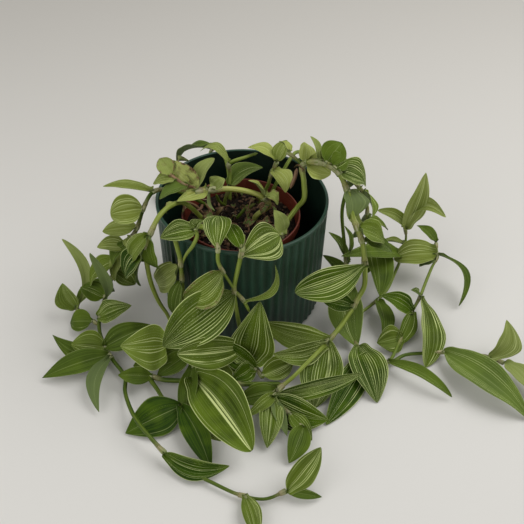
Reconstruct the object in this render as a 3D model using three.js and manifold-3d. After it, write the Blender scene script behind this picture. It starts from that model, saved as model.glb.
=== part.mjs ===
// Potted silver inch plant: a striped trailing plant in a nursery pot that stands in a ribbed outer pot.
// Millimetres, +Z up, origin at the centre of the outer pot's base, the photograph's side towards -Y.
import * as THREE from "three";
import { mergeVertices } from "three/addons/utils/BufferGeometryUtils.js";
import Module from "manifold-3d";

const wasm = await Module();
wasm.setup();

// Driving dimensions of the outer pot
const potHeight = 97;
const potRimRadius = 65;
const potBaseRadius = 63.6;
const potWall = 2.2;
const potFloor = 3;
const ribCount = 60;
const ribDepth = 0.9;
const rimBand = 2.2;
const footChamfer = 1.2;

// Driving dimensions of the nursery pot, its place in the outer pot, and the soil
const nurseryHeight = 78;
const nurseryRimRadius = 45.5;
const nurseryBaseRadius = 33;
const nurseryWall = 1.2;
const nurseryLip = 1.4;
const nurseryLipHeight = 7;
const nurseryCentre = [-1, 0];
const drainHoles = 5;
const drainHoleRadius = 3.5;
const drainRingRadius = 21.8;
const touchGap = 0.3;
const soilDepthBelowRim = 11;
const nurseryFoot = potFloor + touchGap;
const nurseryRim = nurseryFoot + nurseryHeight;
const soilTop = nurseryRim - soilDepthBelowRim;
const soilRings = [0.7, 0.4];
const rootDepth = 11;
const rootRise = 2;
const holeRoom = 1.35;
const holeRise = 20;
const holeSides = 6;
const drainSides = 8;
const cupSides = 32;
const soilSides = 20;

// Driving dimensions of the plant
const bladeThickness = 0.7;
const stemSides = 5;
const stemStep = 12;
const fewestSteps = 3;
const outwardLean = 0.6;

// The photograph's viewpoint: how far the camera stands from the pot's axis and above its base,
// its turns in radians, and its focal length and picture centre in pixels.
const view = {
  distance: 425.5, height: 411.4, yaw: 0.037, pitch: 0.73, roll: 0.019, focal: 700, centre: 262,
};
const viewForward = new THREE.Vector3(
  Math.sin(view.yaw) * Math.cos(view.pitch),
  Math.cos(view.yaw) * Math.cos(view.pitch),
  -Math.sin(view.pitch),
);
const levelRight = new THREE.Vector3(Math.cos(view.yaw), -Math.sin(view.yaw), 0);
const levelUp = new THREE.Vector3().crossVectors(levelRight, viewForward);
const viewRight = levelRight.clone().multiplyScalar(Math.cos(view.roll))
  .addScaledVector(levelUp, Math.sin(view.roll));
const viewUp = levelUp.clone().multiplyScalar(Math.cos(view.roll))
  .addScaledVector(levelRight, -Math.sin(view.roll));

// The point that shows at pixel (across, down) of the photograph and lies `height` above the floor.
function seen(across, down, height) {
  const ray = viewForward.clone().multiplyScalar(view.focal)
    .addScaledVector(viewRight, across - view.centre)
    .addScaledVector(viewUp, view.centre - down);
  const reach = (height - view.height) / ray.z;
  return new THREE.Vector3(0, -view.distance, view.height).addScaledVector(ray, reach);
}

// A point that the photograph hides, in millimetres.
const placed = (x, y, z) => new THREE.Vector3(x, y, z);

// One stretch of stem: its radius, the points that it passes, its leaves, and where it is rooted.
// A leaf is [place along the points, tip, width, roll in degrees, arch, fold in degrees, sway, form].
const run = (radius, points, leaves = [], root = null) => ({ radius, points, leaves, root });

const plant = {
  "stem_west_front": [
    run(1.8, [
      seen(184, 203, 102), seen(172, 205, 108), seen(160, 215, 108), seen(152, 230, 101),
      seen(146, 248, 86), seen(148, 270, 62), seen(152, 286, 45), seen(159, 302, 29),
      seen(168, 316, 15), seen(171, 326, 8), seen(166, 337, 6)], [
      [3.2, seen(158, 270, 68), 16, 0, 0.1],
      [3.2, seen(131, 262, 70), 15, -20, 0.12],
      [4, seen(125, 277, 54), 19, -20, 0.1],
      [4.2, seen(140, 286, 44), 13, 0, 0.1],
    ], [-27, -6]),
  ],
  "stem_front_left": [
    run(1.6, [
      seen(186, 224, 101), seen(175, 235, 105), seen(177, 247, 97), seen(180, 258, 87),
      seen(181, 268, 77), seen(182, 280, 65), seen(183, 295, 50), seen(184, 315, 32),
      seen(187, 340, 14), seen(193, 366, 12), seen(197, 380, 9)], [
      [3.7, seen(153, 283, 24), 21, -40, 0, 22, -0.04],
      [5, seen(175, 318, 34), 13, 0, 0.08],
      [8.2, seen(133, 366, 9), 17, -15, 0.1],
      [8.5, seen(157, 376, 6), 15, -15, 0.1],
      [9.8, seen(252, 451, 18), 36, 8, 0.06, 20, -0.05, "oblong"],
      [9, seen(184, 425, 5), 14, 0, 0.05],
    ], [-16, -18]),
    run(1.4, [
      seen(196, 228, 102), seen(197, 237, 106), seen(192, 247, 100), seen(188, 252, 94),
      seen(184, 259, 86), seen(181, 267, 78)], [
      [0.4, seen(160, 238, 106), 16, -10, 0.12],
      [0.4, seen(203, 220, 112), 9, 0, 0.06, 50],
    ], [-10, -22]),
    run(1.8, [
      seen(282, 384, 5), seen(262, 384, 6), seen(233, 384, 8), seen(198, 381, 9),
      seen(165, 380, 7), seen(150, 377, 7), seen(157, 389, 7), seen(165, 400, 7),
      seen(181, 406, 8)], [
      [2, seen(212, 366, 8), 15, 0, 0.06],
      [4.8, seen(118, 375, 13), 13, -10, 0.1, 30],
      [8, seen(125, 433, 3), 28, -6, 0.05, 10, 0, "lance"],
      [8, seen(211, 470, 3), 18, 0, 0.06, 22, -0.05],
      [8, seen(221, 441, 5), 14, 0, 0.06],
    ]),
    run(1.2, [seen(187, 340, 14), seen(176, 343, 17), seen(165, 345, 19)], [
      [2, seen(121, 347, 25), 34, -30, 0.1, 22, 0, "heart"],
    ]),
  ],
  "stem_front_middle": [
    run(1.6, [
      seen(243, 238, 102), seen(242, 250, 105), seen(240, 260, 96), seen(237, 273, 83),
      seen(234, 289, 68), seen(235, 301, 57), seen(237, 313, 45), seen(240, 328, 30),
      seen(246, 346, 13), seen(252, 362, 8), seen(264, 379, 7)], [
      [1.6, seen(280, 235, 106), 27, 12, 0.1, 22, 0, "fan"],
      [1, seen(229, 224, 108), 11, 0, 0.1],
      [4.3, seen(162, 347, 36), 34, -20, 0.12],
      [8, seen(177, 354, 47), 24, -32, 0.08, 22, 0, "fan"],
      [9.4, seen(225, 361, 14), 17, -10, 0.06],
      [9.4, seen(213, 339, 30), 17, -20, 0.04],
      [8.6, seen(260, 302, 54), 34, 0, 0.14, 22, 0, "heart"],
      [9.2, seen(231, 380, 8), 15, -20, 0.12],
      [9.8, seen(294, 361, 8), 18, 0, 0.05],
    ], [0, -24]),
    run(1.4, [
      seen(217, 238, 103), seen(218, 248, 105), seen(218, 261, 94), seen(223, 272, 84),
      seen(229, 281, 76), seen(234, 289, 69)], [
      [1.2, seen(218, 215, 114), 19, 0, 0.1, 22, 0, "fan"],
      [3, seen(184, 300, 64), 22, -20, 0.1, 22, -0.14, "oblong"],
    ], [-7, -26]),
    run(1.3, [seen(234, 290, 67), seen(243, 300, 58), seen(250, 313, 46)], [
      [1, seen(275, 265, 86), 6, 30, -0.05, 22, 0.34],
    ]),
  ],
  "stem_right": [
    run(2, [
      seen(297, 208, 86), seen(304, 199, 95), seen(304, 182, 108), seen(303, 165, 118),
      seen(318, 162, 123), seen(336, 170, 121), seen(347, 190, 112), seen(352, 215, 99),
      seen(357, 228, 91), seen(362, 241, 82), seen(364, 255, 70), seen(365, 270, 57),
      seen(364, 287, 42), seen(358, 298, 34), seen(350, 312, 26), seen(340, 327, 20),
      seen(329, 340, 18), seen(318, 352, 18), seen(305, 365, 18), seen(292, 378, 16),
      seen(280, 388, 12), seen(272, 398, 10)], [
      [3.2, seen(331, 174, 112), 23, 40, 0.06],
      [3, seen(305, 142, 128), 17, 0, 0.1],
      [4, seen(311, 136, 136), 10, 0, 0.06, 22, 0.05, "oblong"],
      [4.2, seen(327, 147, 130), 11, 0, 0.1],
      [4.4, seen(342, 142, 134), 20, 0, 0.1],
      [4.8, seen(348, 160, 126), 17, 15, 0.2],
      [5, seen(368, 184, 110), 25, 20, 0.12],
      [5.2, seen(349, 187, 104), 15, -10, 0.1],
      [6, seen(351, 219, 97), 26, 0, 0.14],
      [8, seen(385, 242, 76), 20, 10, 0.1],
      [9, seen(392, 252, 62), 12, 10, 0.1],
      [10.6, seen(297, 293, 61), 25, -22, 0.1, 22, -0.04, "fan"],
      [13.6, seen(322, 300, 30), 15, -20, 0.1],
      [16, seen(263, 322, 27), 21, -5, 0.02, 14, -0.1],
      [16.3, seen(273, 354, 24), 17, -25, 0.06, 22, -0.08],
      [16.2, seen(314, 407, 3), 32, 20, -0.04, 12],
      [20.8, seen(364, 373, 26), 13, 22, 0.1],
      [21, seen(328, 420, 7), 24, 15, 0.03, 22, 0.1],
      [21, seen(267, 448, 4), 17, 0, 0.1],
      [21, seen(287, 436, 6), 9, 0, 0.1],
      [20.6, seen(247, 417, 14), 9, 0, 0.1],
      [20.2, seen(238, 400, 5), 16, 0, 0.08],
    ], [28, -14]),
    run(1.3, [seen(304, 172, 114), seen(302, 165, 118), seen(295, 158, 121), seen(287, 152, 123)], [
      [2.8, seen(279, 141, 128), 12, 0, 0.15],
    ]),
    run(1.3, [seen(272, 398, 10), seen(290, 414, 7), seen(303, 427, 7)], [
      [2, seen(289, 463, 3), 16, 0, 0.1],
      [1, seen(312, 440, 4), 12, 0, 0.1],
    ]),
    run(1.4, [
      seen(347, 190, 112), seen(344, 200, 102), seen(342, 213, 90), seen(345, 250, 56),
      seen(348, 285, 26), seen(352, 318, 9), seen(358, 347, 6), seen(375, 358, 5),
      seen(390, 362, 5), seen(405, 355, 5), seen(428, 353, 5), seen(452, 352, 5),
      seen(470, 354, 6), seen(487, 357, 6), seen(504, 363, 6)], [
      [3.3, seen(346, 226, 78), 10, 0, 0.1],
      [3.4, seen(329, 232, 66), 12, 0, 0.1],
      [4, seen(323, 255, 46), 13, -10, 0.1],
      [4, seen(357, 347, 5), 28, 25, 0.02, 18, 0.12],
      [4.6, seen(328, 312, 8), 16, -10, 0.1],
      [6, seen(378, 401, 3), 29, 15, 0.1, 12],
      [6.6, seen(327, 424, 3), 22, 4, 0.02, 6],
      [7.8, seen(452, 397, 4), 9, 20, 0.12, 22, -0.06, "oblong"],
      [10.6, seen(534, 420, 4), 27, 20, 0.08, 22, 0, "lance"],
      [13, seen(507, 320, 34), 22, -10, 0.12, 22, 0.2],
      [14, seen(536, 398, 4), 17, 15, 0.1],
    ]),
    run(1.3, [
      seen(390, 362, 5), seen(402, 337, 6), seen(412, 312, 9), seen(420, 297, 12),
      seen(425, 284, 15), seen(432, 267, 19), seen(437, 257, 22), seen(436, 243, 25)], [
      [1, seen(377, 343, 5), 22, -15, 0.1],
      [2, seen(396, 348, 3), 14, 0, 0.1],
      [2, seen(382, 295, 24), 17, -20, 0.12],
      [3, seen(427, 366, 3), 24, 0, 0.1, 22, 0, "fan"],
      [3, seen(411, 290, 24), 8, 0, 0.1],
      [6, seen(419, 266, 14), 14, 0, 0.1],
      [6.2, seen(459, 306, 4), 10, 0, 0.26, 22, -0.12, "oblong"],
      [6.2, seen(394, 258, 18), 25, -20, 0.08, 22, 0, "oblong"],
      [7, seen(417, 225, 30), 12, -25, 0.1],
    ]),
    run(1.3, [
      seen(352, 318, 9), seen(370, 306, 7), seen(386, 291, 7), seen(394, 275, 9),
      seen(402, 255, 13), seen(406, 238, 22), seen(405, 227, 33)], [
      [1.4, seen(384, 340, 4), 18, 0, 0.1],
      [4, seen(343, 255, 62), 15, -10, 0.06],
      [4.6, seen(378, 243, 14), 12, 0, 0.1],
      [6, seen(427, 174, 92), 20, -105, 0.06, 22, -0.04],
      [6, seen(446, 217, 70), 13, 90, 0.1, 22, -0.25, "oblong"],
      [5.8, seen(379, 210, 54), 13, -35, 0.16, 22, 0, "oblong"],
    ]),
    run(1.4, [
      seen(336, 170, 121), seen(342, 172, 115), seen(347, 175, 108), seen(353, 181, 99),
      seen(362, 191, 88), seen(367, 206, 73), seen(367, 222, 55), seen(372, 241, 30)], [
      [3.6, seen(371, 233, 66), 12, 20, -0.2, 30, 0.25],
      [4, seen(374, 217, 78), 16, -20, 0.1],
      [5.4, seen(352, 238, 40), 13, 0, 0.1],
      [6, seen(388, 230, 44), 14, 0, 0.1],
      [7, seen(380, 296, 16), 26, 15, 0.06],
      [7, seen(364, 276, 12), 14, 0, 0.1],
    ]),
  ],
  "stem_left_long": [
    run(1.5, [
      seen(172, 190, 101), seen(153, 192, 106), seen(144, 207, 99), seen(137, 228, 80),
      seen(126, 247, 62), seen(115, 270, 42), seen(105, 298, 22), seen(99, 325, 10),
      seen(105, 347, 8), seen(113, 360, 7), seen(125, 377, 6), seen(125, 391, 6),
      seen(132, 412, 13), seen(140, 425, 14), seen(150, 437, 13), seen(164, 452, 8),
      seen(188, 470, 5), seen(213, 483, 4), seen(240, 495, 4), seen(265, 499, 4),
      seen(286, 491, 5)], [
      [1, seen(103, 185, 112), 10, 0, 0.02, 36],
      [2.1, seen(110, 214, 94), 23, -35, 0.1, 22, 0, "oblong"],
      [3, seen(102, 231, 74), 15, -15, 0.02],
      [3.6, seen(150, 262, 52), 14, 0, 0.1],
      [4, seen(97, 246, 66), 15, -15, 0.1],
      [3.8, seen(111, 264, 56), 15, -10, 0.1],
      [5.3, seen(112, 291, 18), 14, 0, 0.1],
      [3.4, seen(131, 250, 66), 13, 10, 0.1],
      [4.2, seen(113, 281, 42), 14, 0, 0.04],
      [4.4, seen(129, 272, 40), 15, 10, 0.1],
      [4.6, seen(87, 283, 34), 23, 0, 0.06],
      [5, seen(136, 284, 32), 17, 0, 0.1],
      [6, seen(90, 253, 70), 10, 70, 0.12, 22, 0.18, "fan"],
      [6, seen(80, 287, 28), 17, 0, 0.12],
      [6.7, seen(129, 305, 30), 18, 20, 0.1],
      [8, seen(71, 344, 14), 22, -15, 0.08],
      [8, seen(151, 325, 24), 20, 20, 0.1],
      [8.4, seen(52, 334, 18), 15, 0, -0.12, 22, -0.15, "lance"],
      [8.6, seen(42, 378, 4), 18, -15, 0.1, 22, 0, "lance"],
      [8.8, seen(99, 412, 4), 12, -20, 0.1, 22, 0.14],
      [15, seen(229, 467, 8), 15, 20, 0.1, 22, 0.1],
      [18.2, seen(256, 541, 3), 12, 0, 0.06, 22, -0.06],
      [20, seen(322, 448, 22), 18, 20, 0.1, 22, -0.06],
      [20, seen(322, 497, 3), 6.5, 0, 0.08],
    ], [-24, 14]),
    run(1.3, [seen(99, 325, 10), seen(86, 316, 9), seen(76, 308, 10)], [
      [2, seen(62, 239, 62), 9, 60, 0.06, 22, 0.22, "fan"],
      [2, seen(62, 284, 30), 18, 30, 0.06, 22, -0.1],
      [2, seen(106, 277, 26), 15, 0, 0.06],
      [0.4, seen(69, 322, 5), 18, -15, 0.08],
    ]),
  ],
  "stem_crown_old": [
    run(2.1, [
      seen(269, 205, 84), seen(262, 197, 93), seen(250, 192, 99), seen(230, 189, 104),
      seen(210, 190, 108), seen(196, 192, 110), seen(185, 195, 111)], [
      [0.8, seen(278, 204, 90), 15, 10, 0.3, 22, 0, "oblong"],
      [0.8, seen(249, 180, 108), 11, 0, 0.12],
      [4, seen(214, 211, 94), 9, 60, 0.1],
      [3.8, seen(224, 178, 114), 14, 20, 0.1],
      [4.2, seen(177, 200, 111), 13, -15, 0, 22, -0.1],
      [5, seen(214, 158, 130), 17, 0, 0.08, 22, 0, "oblong"],
    ], [10, 6]),
    run(0.9, [
      seen(210, 190, 108), seen(196, 188, 112), seen(184, 184, 116), seen(174, 177, 120),
      seen(164, 169, 123)], [
      [0.8, seen(168, 161, 128), 20, -30, 0.06],
      [3.2, seen(159, 158, 128), 13, 10, 0.1],
      [2.6, seen(153, 184, 114), 14, 0, 0.1],
      [1.6, seen(159, 198, 112), 12, -10, 0.1],
    ]),
  ],
  "stem_back_inside": [
    run(1.5, [
      seen(229, 187, 88), seen(230, 172, 99), seen(229, 164, 107), seen(246, 157, 112),
      seen(258, 153, 111)], [
      [0, seen(262, 166, 102), 22, 35, 0.1],
      [2, seen(200, 151, 112), 9, -28, 0.42],
    ], [-14, 26]),
  ],
  "stem_back_short": [
    run(1.5, [seen(268, 185, 88), seen(272, 172, 99), seen(277, 162, 108)], [
      [2, seen(248, 147, 118), 15, -30, 0.14],
      [2, seen(287, 140, 122), 13, 0, 0.1],
      [1.1, seen(287, 191, 92), 20, 20, 0.12],
    ], [14, 28]),
  ],
  "shoot_by_lip": [
    run(1.3, [seen(282, 238, 82), seen(281, 232, 87)], [
      [0.6, seen(275, 210, 103), 14, 0, 0.05],
    ], [18, -26]),
  ],
  "stem_back_left": [
    run(1.5, [
      placed(-12, 47, 93), placed(-18, 62, 101), placed(-25, 74, 91), placed(-30, 82, 66),
      placed(-32, 84, 38), placed(-36, 88, 14), placed(-44, 102, 6), placed(-50, 128, 5),
      placed(-46, 152, 5)], [
      [2, placed(-58, 92, 70), 20, 0, 0.12],
      [3, placed(-4, 104, 36), 21, 0, 0.12],
      [5, placed(-2, 122, 8), 22, 0, 0.12],
      [6.5, placed(-86, 132, 6), 22, 0, 0.1],
      [7, placed(-10, 146, 8), 20, 0, 0.12],
      [8, placed(-70, 178, 6), 20, 0, 0.12],
      [8, placed(-30, 184, 10), 18, 0, 0.12],
    ], [-10, 32]),
  ],
  "stem_back_right": [
    run(1.5, [
      placed(34, 40, 95), placed(43, 53, 101), placed(51, 64, 91), placed(55, 70, 64),
      placed(56, 73, 36), placed(56, 80, 12), placed(50, 96, 6), placed(44, 118, 5),
      placed(48, 140, 5)], [
      [2.4, placed(30, 84, 52), 19, 0, 0.12],
      [4.4, placed(26, 104, 22), 22, 0, 0.12],
      [5.4, placed(76, 112, 6), 21, 0, 0.12],
      [7, placed(14, 134, 8), 21, 0, 0.12],
      [7.4, placed(82, 138, 8), 20, 0, 0.12],
      [8, placed(32, 172, 8), 20, 0, 0.12],
      [8, placed(64, 166, 12), 18, 0, 0.12],
    ], [22, 30]),
  ],
};

// A closed three.js geometry as a solid that can be joined and cut.
function solidOf(geometry) {
  const bare = geometry.index ? geometry.toNonIndexed() : geometry.clone();
  bare.deleteAttribute("normal");
  bare.deleteAttribute("uv");
  const welded = mergeVertices(bare, 1e-4);
  return new wasm.Manifold(new wasm.Mesh({
    numProp: 3,
    vertProperties: Float32Array.from(welded.attributes.position.array),
    triVerts: Uint32Array.from(welded.index.array),
  }));
}

// A solid as a three.js geometry.
function geometryOf(solid) {
  const mesh = solid.getMesh();
  const geometry = new THREE.BufferGeometry();
  geometry.setAttribute("position", new THREE.BufferAttribute(mesh.vertProperties, 3));
  geometry.setIndex(new THREE.BufferAttribute(mesh.triVerts, 1));
  return geometry;
}

// The curve of a stretch of stem, with its root going straight down into the soil.
function stemCurve(stretch) {
  const { points, root } = stretch;
  const below = root ? [placed(...root, soilTop - rootDepth), placed(...root, soilTop + rootRise)] : [];
  const curve = new THREE.CatmullRomCurve3([...below, ...points], false, "centripetal");
  curve.first = below.length;
  return curve;
}

// The place on the stem's straight facets that lies nearest to a point of its curve.
function pointAt(curve, place) {
  const target = curve.getPoint((curve.first + place) / (curve.points.length - 1));
  const joints = curve.getSpacedPoints(stepsOf(curve));
  let nearest = null;
  for (let i = 1; i < joints.length; i += 1) {
    const facet = new THREE.Line3(joints[i - 1], joints[i]);
    const spot = facet.closestPointToPoint(target, true, placed(0, 0, 0));
    if (!nearest || spot.distanceTo(target) < nearest.distanceTo(target)) nearest = spot;
  }
  return nearest;
}

function stepsOf(curve) {
  return Math.max(fewestSteps, Math.round(curve.getLength() / stemStep));
}

// A round stem of a few sides along its curve.
function tube(curve, radius) {
  const section = new THREE.Shape();
  for (let side = 0; side < stemSides; side += 1) {
    const angle = (2 * Math.PI * side) / stemSides;
    const corner = [radius * Math.cos(angle), radius * Math.sin(angle)];
    if (side === 0) section.moveTo(...corner);
    else section.lineTo(...corner);
  }
  const sweep = { steps: stepsOf(curve), extrudePath: curve, bevelEnabled: false };
  return solidOf(new THREE.ExtrudeGeometry(section, sweep));
}

// The forms of leaves: half a wave from base to tip, moved along by the first power and made fuller by
// the second.
const forms = {
  oval: { shift: 0.84, fullness: 0.78 },
  oblong: { shift: 0.92, fullness: 0.55 },
  heart: { shift: 0.58, fullness: 0.8 },
  lance: { shift: 0.78, fullness: 0.95 },
  fan: { shift: 1.5, fullness: 0.6 },
};

// The share of a leaf's full width at a place along it, from its narrow base to its pointed tip.
const outline = (along, { shift, fullness }) => (
  Math.pow(Math.sin(Math.PI * Math.pow(along, shift)), fullness)
);
const stationsByWidth = [
  { upTo: 16, stations: [0.2, 0.62] },
  { upTo: 24, stations: [0.14, 0.42, 0.78] },
  { upTo: Infinity, stations: [0.11, 0.33, 0.6, 0.85] },
];

// A leaf's frame: its direction, its face and its side, from its base, tip and roll.
function leafFrame(base, tip, roll) {
  const direction = tip.clone().sub(base).normalize();
  const middle = base.clone().add(tip).multiplyScalar(0.5);
  const outward = placed(middle.x, middle.y, 0).normalize();
  const face = placed(0, 0, 1).addScaledVector(outward, outwardLean);
  face.addScaledVector(direction, -face.dot(direction)).normalize();
  face.applyAxisAngle(direction, THREE.MathUtils.degToRad(roll));
  const side = new THREE.Vector3().crossVectors(direction, face);
  return { direction, face, side };
}

// A leaf blade: a closed thin shell folded in a V along an arched midrib. It starts and ends in one
// upright edge, and each station between has a left edge, a midrib and a right edge on both faces.
function blade(base, tip, width, roll, arch, fold = 22, sway = 0, form = "oval") {
  const { face, side } = leafFrame(base, tip, roll);
  const span = tip.clone().sub(base);
  const rise = Math.tan(THREE.MathUtils.degToRad(fold));
  const inner = stationsByWidth.find(({ upTo }) => width <= upTo).stations;
  const positions = [];
  const place = (along, across) => {
    const half = (outline(along, forms[form]) * width) / 2;
    const bow = span.length() * 4 * along * (1 - along);
    for (const level of [0.5, -0.5]) {
      const spot = base.clone().addScaledVector(span, along)
        .addScaledVector(side, half * across + sway * bow)
        .addScaledVector(face, arch * bow + half * Math.abs(across) * rise + level * bladeThickness);
      positions.push(spot.x, spot.y, spot.z);
    }
  };
  place(0, 0);
  for (const along of inner) {
    for (const across of [-1, 0, 1]) place(along, across);
  }
  place(1, 0);
  const index = [];
  const quad = (a, b, c, d) => index.push(a, b, c, a, c, d);
  const corner = (station, across, level) => 2 + station * 6 + across * 2 + level;
  const last = inner.length - 1;
  for (let s = 0; s < last; s += 1) {
    for (let a = 0; a < 2; a += 1) {
      quad(corner(s, a, 0), corner(s, a + 1, 0), corner(s + 1, a + 1, 0), corner(s + 1, a, 0));
      quad(corner(s, a + 1, 1), corner(s, a, 1), corner(s + 1, a, 1), corner(s + 1, a + 1, 1));
    }
    quad(corner(s, 0, 1), corner(s, 0, 0), corner(s + 1, 0, 0), corner(s + 1, 0, 1));
    quad(corner(s, 2, 0), corner(s, 2, 1), corner(s + 1, 2, 1), corner(s + 1, 2, 0));
  }
  const tipCorner = positions.length / 3 - 2;
  for (let a = 0; a < 2; a += 1) {
    index.push(0, corner(0, a + 1, 0), corner(0, a, 0), 1, corner(0, a, 1), corner(0, a + 1, 1));
    index.push(tipCorner, corner(last, a, 0), corner(last, a + 1, 0));
    index.push(tipCorner + 1, corner(last, a + 1, 1), corner(last, a, 1));
  }
  quad(0, corner(0, 0, 0), corner(0, 0, 1), 1);
  quad(corner(0, 2, 0), 0, 1, corner(0, 2, 1));
  quad(corner(last, 0, 0), tipCorner, tipCorner + 1, corner(last, 0, 1));
  quad(tipCorner, corner(last, 2, 0), corner(last, 2, 1), tipCorner + 1);
  const geometry = new THREE.BufferGeometry();
  geometry.setAttribute("position", new THREE.Float32BufferAttribute(positions, 3));
  geometry.setIndex(index);
  return solidOf(geometry);
}

// A leafy stem: its stretches of stem with their leaves fused on. Pockets that leaves close between
// them are filled, which leaves the largest of the closed surfaces.
function leafyStem(stretches) {
  const pieces = [];
  for (const stretch of stretches) {
    const curve = stemCurve(stretch);
    pieces.push(tube(curve, stretch.radius));
    for (const [place, tip, ...shape] of stretch.leaves) {
      pieces.push(blade(pointAt(curve, place), tip, ...shape));
    }
  }
  const surfaces = wasm.Manifold.union(pieces).decompose();
  return surfaces.reduce((most, surface) => (surface.volume() > most.volume() ? surface : most));
}

// The plain hole in the soil that a stem stands in.
function rootHole(stretch) {
  const [x, y] = stretch.root;
  const radius = stretch.radius + holeRoom;
  const height = rootDepth + touchGap + holeRise;
  const cylinder = new THREE.CylinderGeometry(radius, radius, height, holeSides);
  cylinder.rotateX(Math.PI / 2);
  cylinder.translate(x, y, soilTop - rootDepth - touchGap + height / 2);
  return solidOf(cylinder);
}

const lathed = (profile, segments) => {
  const geometry = new THREE.LatheGeometry(profile.map(([r, z]) => new THREE.Vector2(r, z)), segments);
  return geometry.rotateX(Math.PI / 2);
};

// The outer pot: a cup whose outside wall steps in and out at every second edge to make upright ribs.
function outerPot() {
  const ribTop = potHeight - rimBand - ribDepth;
  const body = lathed([
    [0, 0],
    [potBaseRadius - ribDepth - footChamfer, 0],
    [potBaseRadius, footChamfer],
    [potRimRadius, ribTop],
    [potRimRadius, potHeight - rimBand],
    [potRimRadius, potHeight],
    [0, potHeight],
  ], ribCount * 2);
  const spots = body.attributes.position;
  for (let i = 0; i < spots.count; i += 1) {
    const [x, y, z] = [spots.getX(i), spots.getY(i), spots.getZ(i)];
    const radius = Math.hypot(x, y);
    const turn = Math.round((Math.atan2(y, x) * ribCount) / Math.PI);
    const ribbed = radius > potBaseRadius - ribDepth && z > 0 && z < ribTop + ribDepth / 2;
    if (ribbed && turn % 2 !== 0) {
      const inward = (radius - ribDepth) / radius;
      spots.setXY(i, x * inward, y * inward);
    }
  }
  const cavity = lathed([
    [0, potFloor],
    [potBaseRadius - potWall - ribDepth, potFloor],
    [potRimRadius - potWall, potHeight + 1],
    [0, potHeight + 1],
  ], cupSides);
  return solidOf(body).subtract(solidOf(cavity));
}

// The radius of the nursery pot's outside wall, below its lip.
const nurseryWidening = nurseryRimRadius - nurseryLip - nurseryBaseRadius;
const nurseryWallHeight = nurseryHeight - nurseryLipHeight;
const nurseryRadius = (z) => nurseryBaseRadius + (nurseryWidening * (z - nurseryFoot)) / nurseryWallHeight;

// The nursery pot: a tapered cup with a deeper lip and round drain holes in its floor.
function nurseryPot() {
  const lipFoot = nurseryRim - nurseryLipHeight;
  const floor = nurseryFoot + nurseryWall;
  let cup = solidOf(lathed([
    [0, nurseryFoot],
    [nurseryBaseRadius, nurseryFoot],
    [nurseryRadius(lipFoot), lipFoot],
    [nurseryRimRadius, lipFoot],
    [nurseryRimRadius, nurseryRim],
    [nurseryRimRadius - nurseryWall, nurseryRim],
    [nurseryRadius(lipFoot) - nurseryWall, lipFoot],
    [nurseryRadius(floor) - nurseryWall, floor],
    [0, floor],
  ], cupSides));
  for (let hole = 0; hole < drainHoles; hole += 1) {
    const angle = (2 * Math.PI * hole) / drainHoles;
    const across = drainRingRadius * Math.cos(angle);
    const back = drainRingRadius * Math.sin(angle);
    const drill = new THREE.CylinderGeometry(drainHoleRadius, drainHoleRadius, 3 * nurseryWall, drainSides);
    drill.rotateX(Math.PI / 2);
    drill.translate(across, back, nurseryFoot + nurseryWall / 2);
    cup = cup.subtract(solidOf(drill));
  }
  return cup.translate([nurseryCentre[0], nurseryCentre[1], 0]);
}

// The soil's low humps, in millimetres above its mean level.
const humps = (x, y) => 1.3 * Math.sin(x * 0.19 + 1) * Math.cos(y * 0.23)
  + 0.9 * Math.sin(x * 0.07 - y * 0.31);

// The soil fills the nursery pot to a little below its lip, with plain holes where the stems stand.
function soil(stemHoles) {
  const bottom = nurseryFoot + nurseryWall + touchGap;
  const lipFoot = nurseryRim - nurseryLipHeight;
  const edge = (z) => nurseryRadius(Math.min(z, lipFoot)) - nurseryWall - touchGap;
  const topEdge = edge(soilTop);
  const earth = lathed([
    [0, bottom],
    [edge(bottom), bottom],
    [topEdge, soilTop],
    ...soilRings.map((share) => [topEdge * share, soilTop]),
    [0, soilTop],
  ], soilSides);
  earth.translate(nurseryCentre[0], nurseryCentre[1], 0);
  const spots = earth.attributes.position;
  for (let i = 0; i < spots.count; i += 1) {
    const [x, y, z] = [spots.getX(i), spots.getY(i), spots.getZ(i)];
    const inside = Math.hypot(x - nurseryCentre[0], y - nurseryCentre[1]) < topEdge - 1;
    if (z > soilTop - 1 && inside) spots.setZ(i, z + humps(x, y));
  }
  return stemHoles.reduce((left, hole) => left.subtract(hole), solidOf(earth));
}

const leafColour = 0x5f8a35;
const soilColour = 0x2a1d16;
const nurseryColour = 0x8a3322;
const potColour = 0x22342e;

const group = new THREE.Group();
function show(name, solid, colour, roughness) {
  const material = new THREE.MeshStandardMaterial({ color: colour, roughness, metalness: 0 });
  const mesh = new THREE.Mesh(geometryOf(solid), material);
  mesh.name = name;
  group.add(mesh);
}

for (const [name, stretches] of Object.entries(plant)) {
  show(name, leafyStem(stretches), leafColour, 0.5);
}

const rooted = Object.values(plant).flat().filter((stretch) => stretch.root);
show("soil", soil(rooted.map(rootHole)), soilColour, 0.95);
show("nursery_pot", nurseryPot(), nurseryColour, 0.55);
show("outer_pot", outerPot(), potColour, 0.5);

export default group;
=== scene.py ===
"""The looks of a potted inch plant: striped leaves on trailing stems, a nursery pot and a ribbed outer pot.

Shapes are worked out in millimetres with numpy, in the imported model's frame, and go to Blender in metres.
"""

import math

import bpy
import numpy as np
from mathutils import Matrix, Vector


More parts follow.
